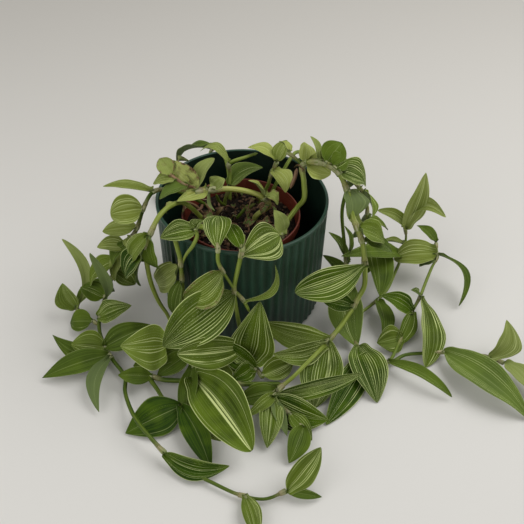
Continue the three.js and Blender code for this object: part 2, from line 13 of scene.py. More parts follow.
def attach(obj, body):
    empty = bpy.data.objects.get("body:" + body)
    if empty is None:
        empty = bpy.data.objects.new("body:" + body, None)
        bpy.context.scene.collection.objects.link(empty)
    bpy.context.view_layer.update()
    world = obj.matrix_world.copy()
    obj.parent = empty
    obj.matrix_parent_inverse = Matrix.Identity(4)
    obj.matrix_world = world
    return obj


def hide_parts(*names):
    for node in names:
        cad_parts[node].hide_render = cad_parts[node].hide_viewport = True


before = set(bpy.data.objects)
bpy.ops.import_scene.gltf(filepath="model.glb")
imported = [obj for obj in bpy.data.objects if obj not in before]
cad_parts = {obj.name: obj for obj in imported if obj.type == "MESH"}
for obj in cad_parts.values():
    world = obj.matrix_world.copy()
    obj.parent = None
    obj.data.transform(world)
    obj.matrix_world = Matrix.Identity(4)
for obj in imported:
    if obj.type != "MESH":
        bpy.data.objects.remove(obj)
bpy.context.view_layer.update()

METRES = 0.001

# The viewpoint of the photograph, in millimetres, radians and pixels
CAMERA_BACK = 425.5
CAMERA_HEIGHT = 411.4
CAMERA_YAW = 0.037
CAMERA_PITCH = 0.73
CAMERA_ROLL = 0.019
FOCAL_PIXELS = 700
PICTURE_SIDE = 524
SENSOR = 36

# Sizes of the pots and the soil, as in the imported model, in millimetres
POT_HEIGHT = 97
POT_RIM_RADIUS = 65
POT_BASE_RADIUS = 63.6
POT_WALL = 2.2
POT_FLOOR = 3
RIB_COUNT = 60
RIB_DEPTH = 0.9
RIM_BAND = 2.2
FOOT_CHAMFER = 1.2
NURSERY_HEIGHT = 78
NURSERY_RIM_RADIUS = 45.5
NURSERY_BASE_RADIUS = 33
NURSERY_WALL = 1.2
NURSERY_LIP = 1.4
NURSERY_LIP_HEIGHT = 7
NURSERY_CENTRE = (-1, 0)
DRAIN_HOLES = 5
DRAIN_HOLE_RADIUS = 3.5
DRAIN_RING_RADIUS = 21.8
TOUCH_GAP = 0.3
NURSERY_FOOT = POT_FLOOR + TOUCH_GAP
NURSERY_RIM = NURSERY_FOOT + NURSERY_HEIGHT
LIP_FOOT = NURSERY_RIM - NURSERY_LIP_HEIGHT
SOIL_BELOW_RIM = 11
SOIL_TOP = NURSERY_RIM - SOIL_BELOW_RIM
ROOT_DEPTH = 11
ROOT_RISE = 2

forward = np.array([
    math.sin(CAMERA_YAW) * math.cos(CAMERA_PITCH),
    math.cos(CAMERA_YAW) * math.cos(CAMERA_PITCH),
    -math.sin(CAMERA_PITCH),
])
level_right = np.array([math.cos(CAMERA_YAW), -math.sin(CAMERA_YAW), 0])
level_up = np.cross(level_right, forward)
picture_right = math.cos(CAMERA_ROLL) * level_right + math.sin(CAMERA_ROLL) * level_up
picture_up = math.cos(CAMERA_ROLL) * level_up - math.sin(CAMERA_ROLL) * level_right
viewpoint = np.array([0, -CAMERA_BACK, CAMERA_HEIGHT])


def seen(across, down, height):
    """The point at a pixel of the picture: the viewpoint plus the pixel's ray as far as the height."""
    centre = PICTURE_SIDE / 2
    ray = FOCAL_PIXELS * forward + (across - centre) * picture_right + (centre - down) * picture_up
    return viewpoint + ray * (height - CAMERA_HEIGHT) / ray[2]


def placed(x, y, z):
    """A point that the picture hides, in millimetres."""
    return np.array([x, y, z], float)


def leaf(place, tip, look, width, roll, arch, fold=22, sway=0, form="oval"):
    """One leaf: its place along the points of its stem, its tip, its look, its width, its roll and fold in
    degrees, its arch and its sway as shares of its length, and its form."""
    return {
        "place": place, "tip": tip, "look": look, "width": width,
        "roll": roll, "arch": arch, "fold": fold, "sway": sway, "form": form,
    }


def run(radius, age, points, leaves=(), root=None, at=seen):
    """A stretch of stem: its radius, its age, the points that it passes, its leaves, and where it is
    rooted. Points and tips are three numbers each, which become a place as "at" says."""
    below = [placed(*root, SOIL_TOP - ROOT_DEPTH), placed(*root, SOIL_TOP + ROOT_RISE)] if root else []
    return {
        "radius": radius,
        "age": age,
        "points": np.array(below + [at(*point) for point in points]),
        "leaves": [leaf(place, at(*tip), *rest) for place, tip, *rest in leaves],
        "first": len(below),
    }


PLANT = {}


def stem(name, *parts, **more):
    """Adds a stretch to the stem of that name."""
    PLANT.setdefault(name, []).append(run(*parts, **more))


# Each stretch has its radius, its age, its points, its leaves and its root. The age goes from -1, pale and
# yellowish, over 0, fresh green, and 1, dull and dark, to 2, brown and dried. A leaf's row holds its place
# along the points, its tip, look, width, roll and arch, and its fold, sway and form where they differ from
# the common ones.
stem("stem_west_front", 1.8, -0.35, [
    (184, 203, 102), (172, 205, 108), (160, 215, 108), (152, 230, 101), (146, 248, 86), (148, 270, 62),
    (152, 286, 45), (159, 302, 29), (168, 316, 15), (171, 326, 8), (166, 337, 6),
], [
    (3.2, (158, 270, 68), "plain", 16, 0, 0.1),
    (3.2, (131, 262, 70), "fine", 15, -20, 0.12),
    (4, (125, 277, 54), "dark", 19, -20, 0.1),
    (4.2, (140, 286, 44), "plain", 13, 0, 0.1),
], (-27, -6))
stem("stem_front_left", 1.6, -0.1, [
    (186, 224, 101), (175, 235, 105), (177, 247, 97), (180, 258, 87), (181, 268, 77), (182, 280, 65),
    (183, 295, 50), (184, 315, 32), (187, 340, 14), (193, 366, 12), (197, 380, 9),
], [
    (3.7, (153, 283, 24), "light", 21, -40, 0, 22, -0.04),
    (5, (175, 318, 34), "plain", 13, 0, 0.08),
    (8.2, (133, 366, 9), "plain", 17, -15, 0.1),
    (8.5, (157, 376, 6), "plain", 15, -15, 0.1),
    (9.8, (252, 451, 18), "double", 36, 8, 0.06, 20, -0.05, "oblong"),
    (9, (184, 425, 5), "plain", 14, 0, 0.05),
], (-16, -18))
stem("stem_front_left", 1.4, -0.1, [
    (196, 228, 102), (197, 237, 106), (192, 247, 100), (188, 252, 94), (184, 259, 86), (181, 267, 78),
], [
    (0.4, (160, 238, 106), "striped", 16, -10, 0.12),
    (0.4, (203, 220, 112), "striped", 9, 0, 0.06, 50),
], (-10, -22))
stem("stem_front_left", 1.8, 1.0, [
    (282, 384, 5), (262, 384, 6), (233, 384, 8), (198, 381, 9), (165, 380, 7), (150, 377, 7), (157, 389, 7),
    (165, 400, 7), (181, 406, 8),
], [
    (2, (212, 366, 8), "fine", 15, 0, 0.06),
    (4.8, (118, 375, 13), "plain", 13, -10, 0.1, 30),
    (8, (125, 433, 3), "deep", 28, -6, 0.05, 10, 0, "lance"),
    (8, (211, 470, 3), "deep", 18, 0, 0.06, 22, -0.05),
    (8, (221, 441, 5), "fine", 14, 0, 0.06),
])
stem("stem_front_left", 1.2, 1.4, [(187, 340, 14), (176, 343, 17), (165, 345, 19)], [
    (2, (121, 347, 25), "edged", 34, -30, 0.1, 22, 0, "heart"),
])
stem("stem_front_middle", 1.6, 0.0, [
    (243, 238, 102), (242, 250, 105), (240, 260, 96), (237, 273, 83), (234, 289, 68), (235, 301, 57),
    (237, 313, 45), (240, 328, 30), (246, 346, 13), (252, 362, 8), (264, 379, 7),
], [
    (1.6, (280, 235, 106), "broad", 27, 12, 0.1, 22, 0, "fan"),
    (1, (229, 224, 108), "dark", 11, 0, 0.1),
    (4.3, (162, 347, 36), "striped", 34, -20, 0.12),
    (8, (177, 354, 47), "broad", 24, -32, 0.08, 22, 0, "fan"),
    (9.4, (225, 361, 14), "fine", 17, -10, 0.06),
    (9.4, (213, 339, 30), "dark", 17, -20, 0.04),
    (8.6, (260, 302, 54), "striped", 34, 0, 0.14, 22, 0, "heart"),
    (9.2, (231, 380, 8), "dark", 15, -20, 0.12),
    (9.8, (294, 361, 8), "fine", 18, 0, 0.05),
], (0, -24))
stem("stem_front_middle", 1.4, 0.0, [
    (217, 238, 103), (218, 248, 105), (218, 261, 94), (223, 272, 84), (229, 281, 76), (234, 289, 69),
], [
    (1.2, (218, 215, 114), "striped", 19, 0, 0.1, 22, 0, "fan"),
    (3, (184, 300, 64), "ruffled", 22, -20, 0.1, 22, -0.14, "oblong"),
], (-7, -26))
stem("stem_front_middle", 1.3, 0.2, [(234, 290, 67), (243, 300, 58), (250, 313, 46)], [
    (1, (275, 265, 86), "edged", 6, 30, -0.05, 22, 0.34),
])
stem("stem_right", 2, -0.25, [
    (297, 208, 86), (304, 199, 95), (304, 182, 108), (303, 165, 118), (318, 162, 123), (336, 170, 121),
    (347, 190, 112), (352, 215, 99), (357, 228, 91), (362, 241, 82), (364, 255, 70), (365, 270, 57),
    (364, 287, 42), (358, 298, 34), (350, 312, 26), (340, 327, 20), (329, 340, 18), (318, 352, 18),
    (305, 365, 18), (292, 378, 16), (280, 388, 12), (272, 398, 10),
], [
    (3.2, (331, 174, 112), "lime", 23, 40, 0.06),
    (3, (305, 142, 128), "lime", 17, 0, 0.1),
    (4, (311, 136, 136), "pale", 10, 0, 0.06, 22, 0.05, "oblong"),
    (4.2, (327, 147, 130), "light", 11, 0, 0.1),
    (4.4, (342, 142, 134), "plain", 20, 0, 0.1),
    (4.8, (348, 160, 126), "plain", 17, 15, 0.2),
    (5, (368, 184, 110), "striped", 25, 20, 0.12),
    (5.2, (349, 187, 104), "plain", 15, -10, 0.1),
    (6, (351, 219, 97), "grey", 26, 0, 0.14),
    (8, (385, 242, 76), "fine", 20, 10, 0.1),
    (9, (392, 252, 62), "plain", 12, 10, 0.1),
    (10.6, (297, 293, 61), "lined", 25, -22, 0.1, 22, -0.04, "fan"),
    (13.6, (322, 300, 30), "dark", 15, -20, 0.1),
    (16, (263, 322, 27), "fine", 21, -5, 0.02, 14, -0.1),
    (16.3, (273, 354, 24), "broad", 17, -25, 0.06, 22, -0.08),
    (16.2, (314, 407, 3), "striped", 32, 20, -0.04, 12),
    (20.8, (364, 373, 26), "lined", 13, 22, 0.1),
    (21, (328, 420, 7), "dark", 24, 15, 0.03, 22, 0.1),
    (21, (267, 448, 4), "striped", 17, 0, 0.1),
    (21, (287, 436, 6), "grey", 9, 0, 0.1),
    (20.6, (247, 417, 14), "fine", 9, 0, 0.1),
    (20.2, (238, 400, 5), "plain", 16, 0, 0.08),
], (28, -14))
stem("stem_right", 1.3, 0.9, [(304, 172, 114), (302, 165, 118), (295, 158, 121), (287, 152, 123)], [
    (2.8, (279, 141, 128), "lime", 12, 0, 0.15),
])
stem("stem_right", 1.3, 0.3, [(272, 398, 10), (290, 414, 7), (303, 427, 7)], [
    (2, (289, 463, 3), "plain", 16, 0, 0.1),
    (1, (312, 440, 4), "plain", 12, 0, 0.1),
])
stem("stem_right", 1.4, 0.8, [
    (347, 190, 112), (344, 200, 102), (342, 213, 90), (345, 250, 56), (348, 285, 26), (352, 318, 9),
    (358, 347, 6), (375, 358, 5), (390, 362, 5), (405, 355, 5), (428, 353, 5), (452, 352, 5), (470, 354, 6),
    (487, 357, 6), (504, 363, 6),
], [
    (3.3, (346, 226, 78), "plain", 10, 0, 0.1),
    (3.4, (329, 232, 66), "plain", 12, 0, 0.1),
    (4, (323, 255, 46), "plain", 13, -10, 0.1),
    (4, (357, 347, 5), "soft", 28, 25, 0.02, 18, 0.12),
    (4.6, (328, 312, 8), "fine", 16, -10, 0.1),
    (6, (378, 401, 3), "lined", 29, 15, 0.1, 12),
    (6.6, (327, 424, 3), "dark", 22, 4, 0.02, 6),
    (7.8, (452, 397, 4), "plain", 9, 20, 0.12, 22, -0.06, "oblong"),
    (10.6, (534, 420, 4), "soft", 27, 20, 0.08, 22, 0, "lance"),
    (13, (507, 320, 34), "pale", 22, -10, 0.12, 22, 0.2),
    (14, (536, 398, 4), "sheer", 17, 15, 0.1),
])
stem("stem_right", 1.3, 0.4, [
    (390, 362, 5), (402, 337, 6), (412, 312, 9), (420, 297, 12), (425, 284, 15), (432, 267, 19),
    (437, 257, 22), (436, 243, 25),
], [
    (1, (377, 343, 5), "fine", 22, -15, 0.1),
    (2, (396, 348, 3), "plain", 14, 0, 0.1),
    (2, (382, 295, 24), "dark", 17, -20, 0.12),
    (3, (427, 366, 3), "broad", 24, 0, 0.1, 22, 0, "fan"),
    (3, (411, 290, 24), "plain", 8, 0, 0.1),
    (6, (419, 266, 14), "grey", 14, 0, 0.1),
    (6.2, (459, 306, 4), "plain", 10, 0, 0.26, 22, -0.12, "oblong"),
    (6.2, (394, 258, 18), "light", 25, -20, 0.08, 22, 0, "oblong"),
    (7, (417, 225, 30), "plain", 12, -25, 0.1),
])
stem("stem_right", 1.3, 0.4, [
    (352, 318, 9), (370, 306, 7), (386, 291, 7), (394, 275, 9), (402, 255, 13), (406, 238, 22),
    (405, 227, 33),
], [
    (1.4, (384, 340, 4), "plain", 18, 0, 0.1),
    (4, (343, 255, 62), "plain", 15, -10, 0.06),
    (4.6, (378, 243, 14), "light", 12, 0, 0.1),
    (6, (427, 174, 92), "bright", 20, -105, 0.06, 22, -0.04),
    (6, (446, 217, 70), "bright", 13, 90, 0.1, 22, -0.25, "oblong"),
    (5.8, (379, 210, 54), "light", 13, -35, 0.16, 22, 0, "oblong"),
])
stem("stem_right", 1.4, 0.3, [
    (336, 170, 121), (342, 172, 115), (347, 175, 108), (353, 181, 99), (362, 191, 88), (367, 206, 73),
    (367, 222, 55), (372, 241, 30),
], [
    (3.6, (371, 233, 66), "pale", 12, 20, -0.2, 30, 0.25),
    (4, (374, 217, 78), "edged", 16, -20, 0.1),
    (5.4, (352, 238, 40), "plain", 13, 0, 0.1),
    (6, (388, 230, 44), "fine", 14, 0, 0.1),
    (7, (380, 296, 16), "plain", 26, 15, 0.06),
    (7, (364, 276, 12), "plain", 14, 0, 0.1),
])
stem("stem_left_long", 1.5, 1.0, [
    (172, 190, 101), (153, 192, 106), (144, 207, 99), (137, 228, 80), (126, 247, 62), (115, 270, 42),
    (105, 298, 22), (99, 325, 10), (105, 347, 8), (113, 360, 7), (125, 377, 6), (125, 391, 6),
    (132, 412, 13), (140, 425, 14), (150, 437, 13), (164, 452, 8), (188, 470, 5), (213, 483, 4),
    (240, 495, 4), (265, 499, 4), (286, 491, 5),
], [
    (1, (103, 185, 112), "light", 10, 0, 0.02, 36),
    (2.1, (110, 214, 94), "light", 23, -35, 0.1, 22, 0, "oblong"),
    (3, (102, 231, 74), "light", 15, -15, 0.02),
    (3.6, (150, 262, 52), "plain", 14, 0, 0.1),
    (4, (97, 246, 66), "light", 15, -15, 0.1),
    (3.8, (111, 264, 56), "plain", 15, -10, 0.1),
    (5.3, (112, 291, 18), "plain", 14, 0, 0.1),
    (3.4, (131, 250, 66), "light", 13, 10, 0.1),
    (4.2, (113, 281, 42), "light", 14, 0, 0.04),
    (4.4, (129, 272, 40), "plain", 15, 10, 0.1),
    (4.6, (87, 283, 34), "fine", 23, 0, 0.06),
    (5, (136, 284, 32), "fine", 17, 0, 0.1),
    (6, (90, 253, 70), "grey", 10, 70, 0.12, 22, 0.18, "fan"),
    (6, (80, 287, 28), "plain", 17, 0, 0.12),
    (6.7, (129, 305, 30), "striped", 18, 20, 0.1),
    (8, (71, 344, 14), "fine", 22, -15, 0.08),
    (8, (151, 325, 24), "plain", 20, 20, 0.1),
    (8.4, (52, 334, 18), "plain", 15, 0, -0.12, 22, -0.15, "lance"),
    (8.6, (42, 378, 4), "plain", 18, -15, 0.1, 22, 0, "lance"),
    (8.8, (99, 412, 4), "grey", 12, -20, 0.1, 22, 0.14),
    (15, (229, 467, 8), "dark", 15, 20, 0.1, 22, 0.1),
    (18.2, (256, 541, 3), "fine", 12, 0, 0.06, 22, -0.06),
    (20, (322, 448, 22), "fine", 18, 20, 0.1, 22, -0.06),
    (20, (322, 497, 3), "plain", 6.5, 0, 0.08),
], (-24, 14))
stem("stem_left_long", 1.3, 0.7, [(99, 325, 10), (86, 316, 9), (76, 308, 10)], [
    (2, (62, 239, 62), "sheer", 9, 60, 0.06, 22, 0.22, "fan"),
    (2, (62, 284, 30), "fine", 18, 30, 0.06, 22, -0.1),
    (2, (106, 277, 26), "plain", 15, 0, 0.06),
    (0.4, (69, 322, 5), "plain", 18, -15, 0.08),
])
stem("stem_crown_old", 2.1, -1.0, [
    (269, 205, 84), (262, 197, 93), (250, 192, 99), (230, 189, 104), (210, 190, 108), (196, 192, 110),
    (185, 195, 111),
], [
    (0.8, (278, 204, 90), "faded", 15, 10, 0.3, 22, 0, "oblong"),
    (0.8, (249, 180, 108), "lime", 11, 0, 0.12),
    (4, (214, 211, 94), "pale", 9, 60, 0.1),
    (3.8, (224, 178, 114), "pale", 14, 20, 0.1),
    (4.2, (177, 200, 111), "lime", 13, -15, 0, 22, -0.1),
    (5, (214, 158, 130), "pale", 17, 0, 0.08, 22, 0, "oblong"),
], (10, 6))
stem("stem_crown_old", 0.9, 2.0, [
    (210, 190, 108), (196, 188, 112), (184, 184, 116), (174, 177, 120), (164, 169, 123),
], [
    (0.8, (168, 161, 128), "dry", 20, -30, 0.06),
    (3.2, (159, 158, 128), "faded", 13, 10, 0.1),
    (2.6, (153, 184, 114), "light", 14, 0, 0.1),
    (1.6, (159, 198, 112), "soft", 12, -10, 0.1),
])
stem("stem_back_inside", 1.5, 0.3, [
    (229, 187, 88), (230, 172, 99), (229, 164, 107), (246, 157, 112), (258, 153, 111),
], [
    (0, (262, 166, 102), "soft", 22, 35, 0.1),
    (2, (200, 151, 112), "light", 9, -28, 0.42),
], (-14, 26))
stem("stem_back_short", 1.5, 0.3, [(268, 185, 88), (272, 172, 99), (277, 162, 108)], [
    (2, (248, 147, 118), "lime", 15, -30, 0.14),
    (2, (287, 140, 122), "light", 13, 0, 0.1),
    (1.1, (287, 191, 92), "lime", 20, 20, 0.12),
], (14, 28))
stem("shoot_by_lip", 1.3, 0.3, [(282, 238, 82), (281, 232, 87)], [
    (0.6, (275, 210, 103), "pale", 14, 0, 0.05),
], (18, -26))
stem("stem_back_left", 1.5, 0.3, [
    (-12, 47, 93), (-18, 62, 101), (-25, 74, 91), (-30, 82, 66), (-32, 84, 38), (-36, 88, 14),
    (-44, 102, 6), (-50, 128, 5), (-46, 152, 5),
], [
    (2, (-58, 92, 70), "plain", 20, 0, 0.12),
    (3, (-4, 104, 36), "striped", 21, 0, 0.12),
    (5, (-2, 122, 8), "dark", 22, 0, 0.12),
    (6.5, (-86, 132, 6), "light", 22, 0, 0.1),
    (7, (-10, 146, 8), "fine", 20, 0, 0.12),
    (8, (-70, 178, 6), "plain", 20, 0, 0.12),
    (8, (-30, 184, 10), "striped", 18, 0, 0.12),
], (-10, 32), at=placed)
stem("stem_back_right", 1.5, 0.3, [
    (34, 40, 95), (43, 53, 101), (51, 64, 91), (55, 70, 64), (56, 73, 36), (56, 80, 12), (50, 96, 6),
    (44, 118, 5), (48, 140, 5),
], [
    (2.4, (30, 84, 52), "dark", 19, 0, 0.12),
    (4.4, (26, 104, 22), "light", 22, 0, 0.12),
    (5.4, (76, 112, 6), "fine", 21, 0, 0.12),
    (7, (14, 134, 8), "plain", 21, 0, 0.12),
    (7.4, (82, 138, 8), "striped", 20, 0, 0.12),
    (8, (32, 172, 8), "dark", 20, 0, 0.12),
    (8, (64, 166, 12), "light", 18, 0, 0.12),
], (22, 30), at=placed)

# What each look gives a leaf: the share of broad cream bands, the share of fine cream lines, the strength
# of the cream margin, how lime and how grey the leaf is, where across it one long double band runs, or -1,
# how much lighter or deeper than most its green is, and how dried the leaf is.
LOOKS = {
    "plain": (0, 0.12, 0.3, 0.1, 0.05, -1, 0, 0),
    "deep": (0, 0.1, 0.3, 0, 0.05, -1, -0.5, 0),
    "soft": (0.05, 0.35, 0.5, 0.08, 0.25, -1, 0.6, 0),
    "edged": (0, 0.55, 1, 0.2, 0, -1, 0.8, 0),
    "fine": (0.12, 0.45, 0.55, 0.2, 0, -1, 0, 0),
    "dark": (0, 0.45, 0.9, 0, 0, -1, -0.4, 0),
    "striped": (0.3, 0.85, 0.9, 0.1, 0, -1, -0.2, 0),
    "broad": (0.8, 0.6, 0.8, 0.15, 0, -1, -0.5, 0),
    "light": (0.15, 0.45, 0.5, 0.5, 0.05, -1, 0, 0),
    "lime": (0.1, 0.25, 0.5, 0.9, 0, -1, 0.3, 0),
    "lined": (0, 0.95, 0.85, 0.05, 0, -1, -0.5, 0),
    "ruffled": (0.2, 0.8, 0.85, 0.2, 0, -1, 0.1, 0.3),
    "double": (0, 0.3, 1, 0.12, 0, 0.61, 0, 0),
    # A lighter striped green whose high tone is partly painted light, lifting upright leaves turned away from
    # the lamps
    "bright": (0.3, 0.7, 0.8, 0.6, 0.05, 0.62, 0.9, 0),
    # A paler, brighter grey-lime whose lift is painted light, standing for light that shines through thin
    # leaves
    "sheer": (0, 0.2, 0.3, 0.75, 0.5, -1, 0.6, 0),
    "grey": (0, 0.12, 0.15, 0.1, 0.8, -1, 0, 0),
    "pale": (0.25, 0.45, 0.4, 0.6, 0.3, -1, 0.8, 0),
    "faded": (0, 0.3, 0.3, 0.6, 0.2, -1, 0.8, 0.4),
    "dry": (0, 0.3, 0.3, 1, 0.05, -1, 1.2, 0.46),
    "dead": (0, 0.1, 0.1, 0.1, 0.6, -1, 0, 1.6),
}
LEAF_FACTS = ("bands", "lines", "margin", "lime", "grey", "stripe", "tone", "dried", "seed", "underside")
STEM_FACTS = ("joint", "sheath", "seed", "age")

chance = np.random.default_rng(41)


def length_of(vectors):
    """The length of each vector: the square root of the sum of its squares."""
    return np.sqrt((vectors ** 2).sum(-1, keepdims=True))


def unit(vectors):
    """Each vector over its length."""
    return vectors / np.maximum(length_of(vectors), 1e-9)


def smooth_step(value):
    """Rises from 0 to 1 as the value does, and flat at both ends: three squares less two cubes."""
    share = np.clip(value, 0, 1)
    return share * share * (3 - 2 * share)


def bell(distance, width):
    """A bell curve of a distance: 1 in its middle and 1 over e at one width from it."""
    return np.exp(-((distance / width) ** 2))


def along_line(distances, travelled, line):
    """The points of a line at some distances travelled on it."""
    return np.stack([np.interp(distances, travelled, line[:, axis]) for axis in range(3)], -1)


def spline(points, places):
    """Points on the centripetal Catmull-Rom curve through the points: between two of them a cubic whose end
    slopes come from the four nearest points, weighted by the square roots of the distances between them."""
    padded = np.vstack([2 * points[0] - points[1], points, 2 * points[-1] - points[-2]])
    first = np.clip(np.floor(places), 0, len(points) - 2).astype(int)
    share = (places - first)[:, None]
    before, start, end, after = (padded[first + step] for step in range(4))
    gap_before = np.sqrt(length_of(start - before))
    gap = np.sqrt(length_of(end - start))
    gap_after = np.sqrt(length_of(after - end))
    slope = (end - start) / gap
    leaving = gap * ((start - before) / gap_before - (end - before) / (gap_before + gap) + slope)
    arriving = gap * (slope - (after - start) / (gap + gap_after) + (after - end) / gap_after)
    square = -3 * start + 3 * end - 2 * leaving - arriving
    cube = 2 * start - 2 * end + leaving + arriving
    return start + leaving * share + square * share ** 2 + cube * share ** 3


def put(name, data):
    """A new object in the scene."""
    thing = bpy.data.objects.new(name, data)
    bpy.context.scene.collection.objects.link(thing)
    return thing


class Piece:
    """A piece while its surfaces are gathered. Each point is a row: x, y, z, u, v, then its facts."""

    def __init__(self, *facts):
        self.facts = facts
        self.rows, self.quads, self.fans = [], [], []
        self.count = 0

    def add(self, rows):
        """Keeps some rows and returns the number of the first one."""
        first = self.count
        self.rows.append(rows)
        self.count += len(rows)
        return first

    def tube(self, rings):
        """A closed surface from an array of rings: quads join each ring to the next, a ring closes on
        itself, and fans round their middles close the first and the last one. It is turned so that its
        volume is positive."""
        stations, sides, width = rings.shape
        number = self.add(rings.reshape(-1, width)) + np.arange(stations * sides).reshape(stations, sides)
        start = self.add(rings[0].mean(0, keepdims=True))
        end = self.add(rings[-1].mean(0, keepdims=True))
        near, far = number[:-1], number[1:]
        quads = np.stack([near, np.roll(near, -1, 1), np.roll(far, -1, 1), far], -1).reshape(-1, 4)
        head, tail = number[0], number[-1]
        fans = np.vstack([
            np.stack([np.full(sides, start), np.roll(head, -1), head], -1),
            np.stack([np.full(sides, end), tail, np.roll(tail, -1)], -1),
        ])
        points = np.vstack(self.rows[-3:])[:, :3]
        corners = np.vstack([quads[:, :3], quads[:, [0, 2, 3]], fans]) - number[0, 0]
        a, b, c = (points[corners[:, corner]] - points.mean(0) for corner in range(3))
        if (a * np.cross(b, c)).sum() < 0:
            quads, fans = quads[:, ::-1], fans[:, ::-1]
        self.quads.append(quads)
        self.fans.append(fans)

    def finish(self, name, material, node, slot):
        """Makes the piece in Blender, in metres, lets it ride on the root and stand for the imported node."""
        rows = np.vstack(self.rows)
        quads, fans = np.vstack(self.quads), np.vstack(self.fans)
        corners = np.concatenate([quads.ravel(), fans.ravel()])
        totals = np.concatenate([np.full(len(quads), 4), np.full(len(fans), 3)])
        mesh = bpy.data.meshes.new(name)
        mesh.vertices.add(len(rows))
        mesh.vertices.foreach_set("co", (rows[:, :3] * METRES).ravel())
        mesh.loops.add(len(corners))
        mesh.loops.foreach_set("vertex_index", corners)
        mesh.polygons.add(len(totals))
        mesh.polygons.foreach_set("loop_start", np.cumsum(totals) - totals)
        mesh.polygons.foreach_set("loop_total", totals)
        mesh.update(calc_edges=True)
        mesh.shade_smooth()
        mesh.uv_layers.new(name="along").data.foreach_set("uv", rows[corners, 3:5].ravel())
        for column, fact in enumerate(self.facts, start=5):
            kept = mesh.attributes.new(fact, "FLOAT", "POINT")
            kept.data.foreach_set("value", rows[:, column].astype(np.float32))
        mesh.materials.append(material)
        thing = put(name, mesh)
        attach(thing, "root")
        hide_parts(node)
        return thing


# The forms of leaves: the first power moves the widest place along, the second makes the leaf fuller
FORMS = {
    "oval": (0.84, 0.78),
    "oblong": (0.92, 0.55),
    "heart": (0.58, 0.8),
    "lance": (0.78, 0.95),
    "fan": (1.5, 0.6),
}

# A leaf's grid: its stations and columns, how much the stations crowd at both ends, and where the last lies
LEAF_STATIONS = 26
LEAF_COLUMNS = 11
CROWDING = 0.09
LAST_STATION = 0.996

# A leaf's blade in millimetres: its thickness at the edge and in the middle, how far its midrib stands out
# below, half the midrib's width and how fast it fades at the tip, and the least height above the ground,
# for stems too
THIN_EDGE = 0.16
THICK_MIDDLE = 0.42
MIDRIB_DEPTH = 0.55
MIDRIB_HALF_WIDTH = 0.7
MIDRIB_FADE = 8
GROUND = 0.12

# A leaf's bends: how far its face leans outwards, how far along it clasps its stem, how far along and how
# steeply it folds round the stem, how round the valley along its midrib is, the most that its tip curls
# down and where that starts, the spread of its twist, how fast the twist sets in and the place along the
# leaf that stays level
OUTWARD_LEAN = 0.6
CLASP_REACH = 0.05
WRAP_REACH = 0.07
WRAP_STEEPNESS = 1.6
VALLEY_ROUNDING = 0.22
MOST_CURL = 0.16
CURL_START = 0.6
TWIST_SPREAD = 0.16
TWIST_RISE = 4
TWIST_LEVEL = 0.35

# A leaf's waves: the fewest and the most ripples along it, how fast they set in and how high they are, and
# how high its crinkles are, as shares of half its width, and the two waves that these are made of, along
# and across it
RIPPLES = (1.4, 2.6)
RIPPLE_RISE = 5
RIPPLE_HEIGHT = 0.055
CRINKLE_HEIGHT = 0.16
CRINKLES = ((19, 5), (11, -4))


def outline(along, shift, fullness):
    """The share of a leaf's full width at a place along it: the sine of pi times the place to the first
    power, to the second power, so that it is widest near its middle and pointed at its tip."""
    return np.sin(np.pi * along ** shift) ** fullness


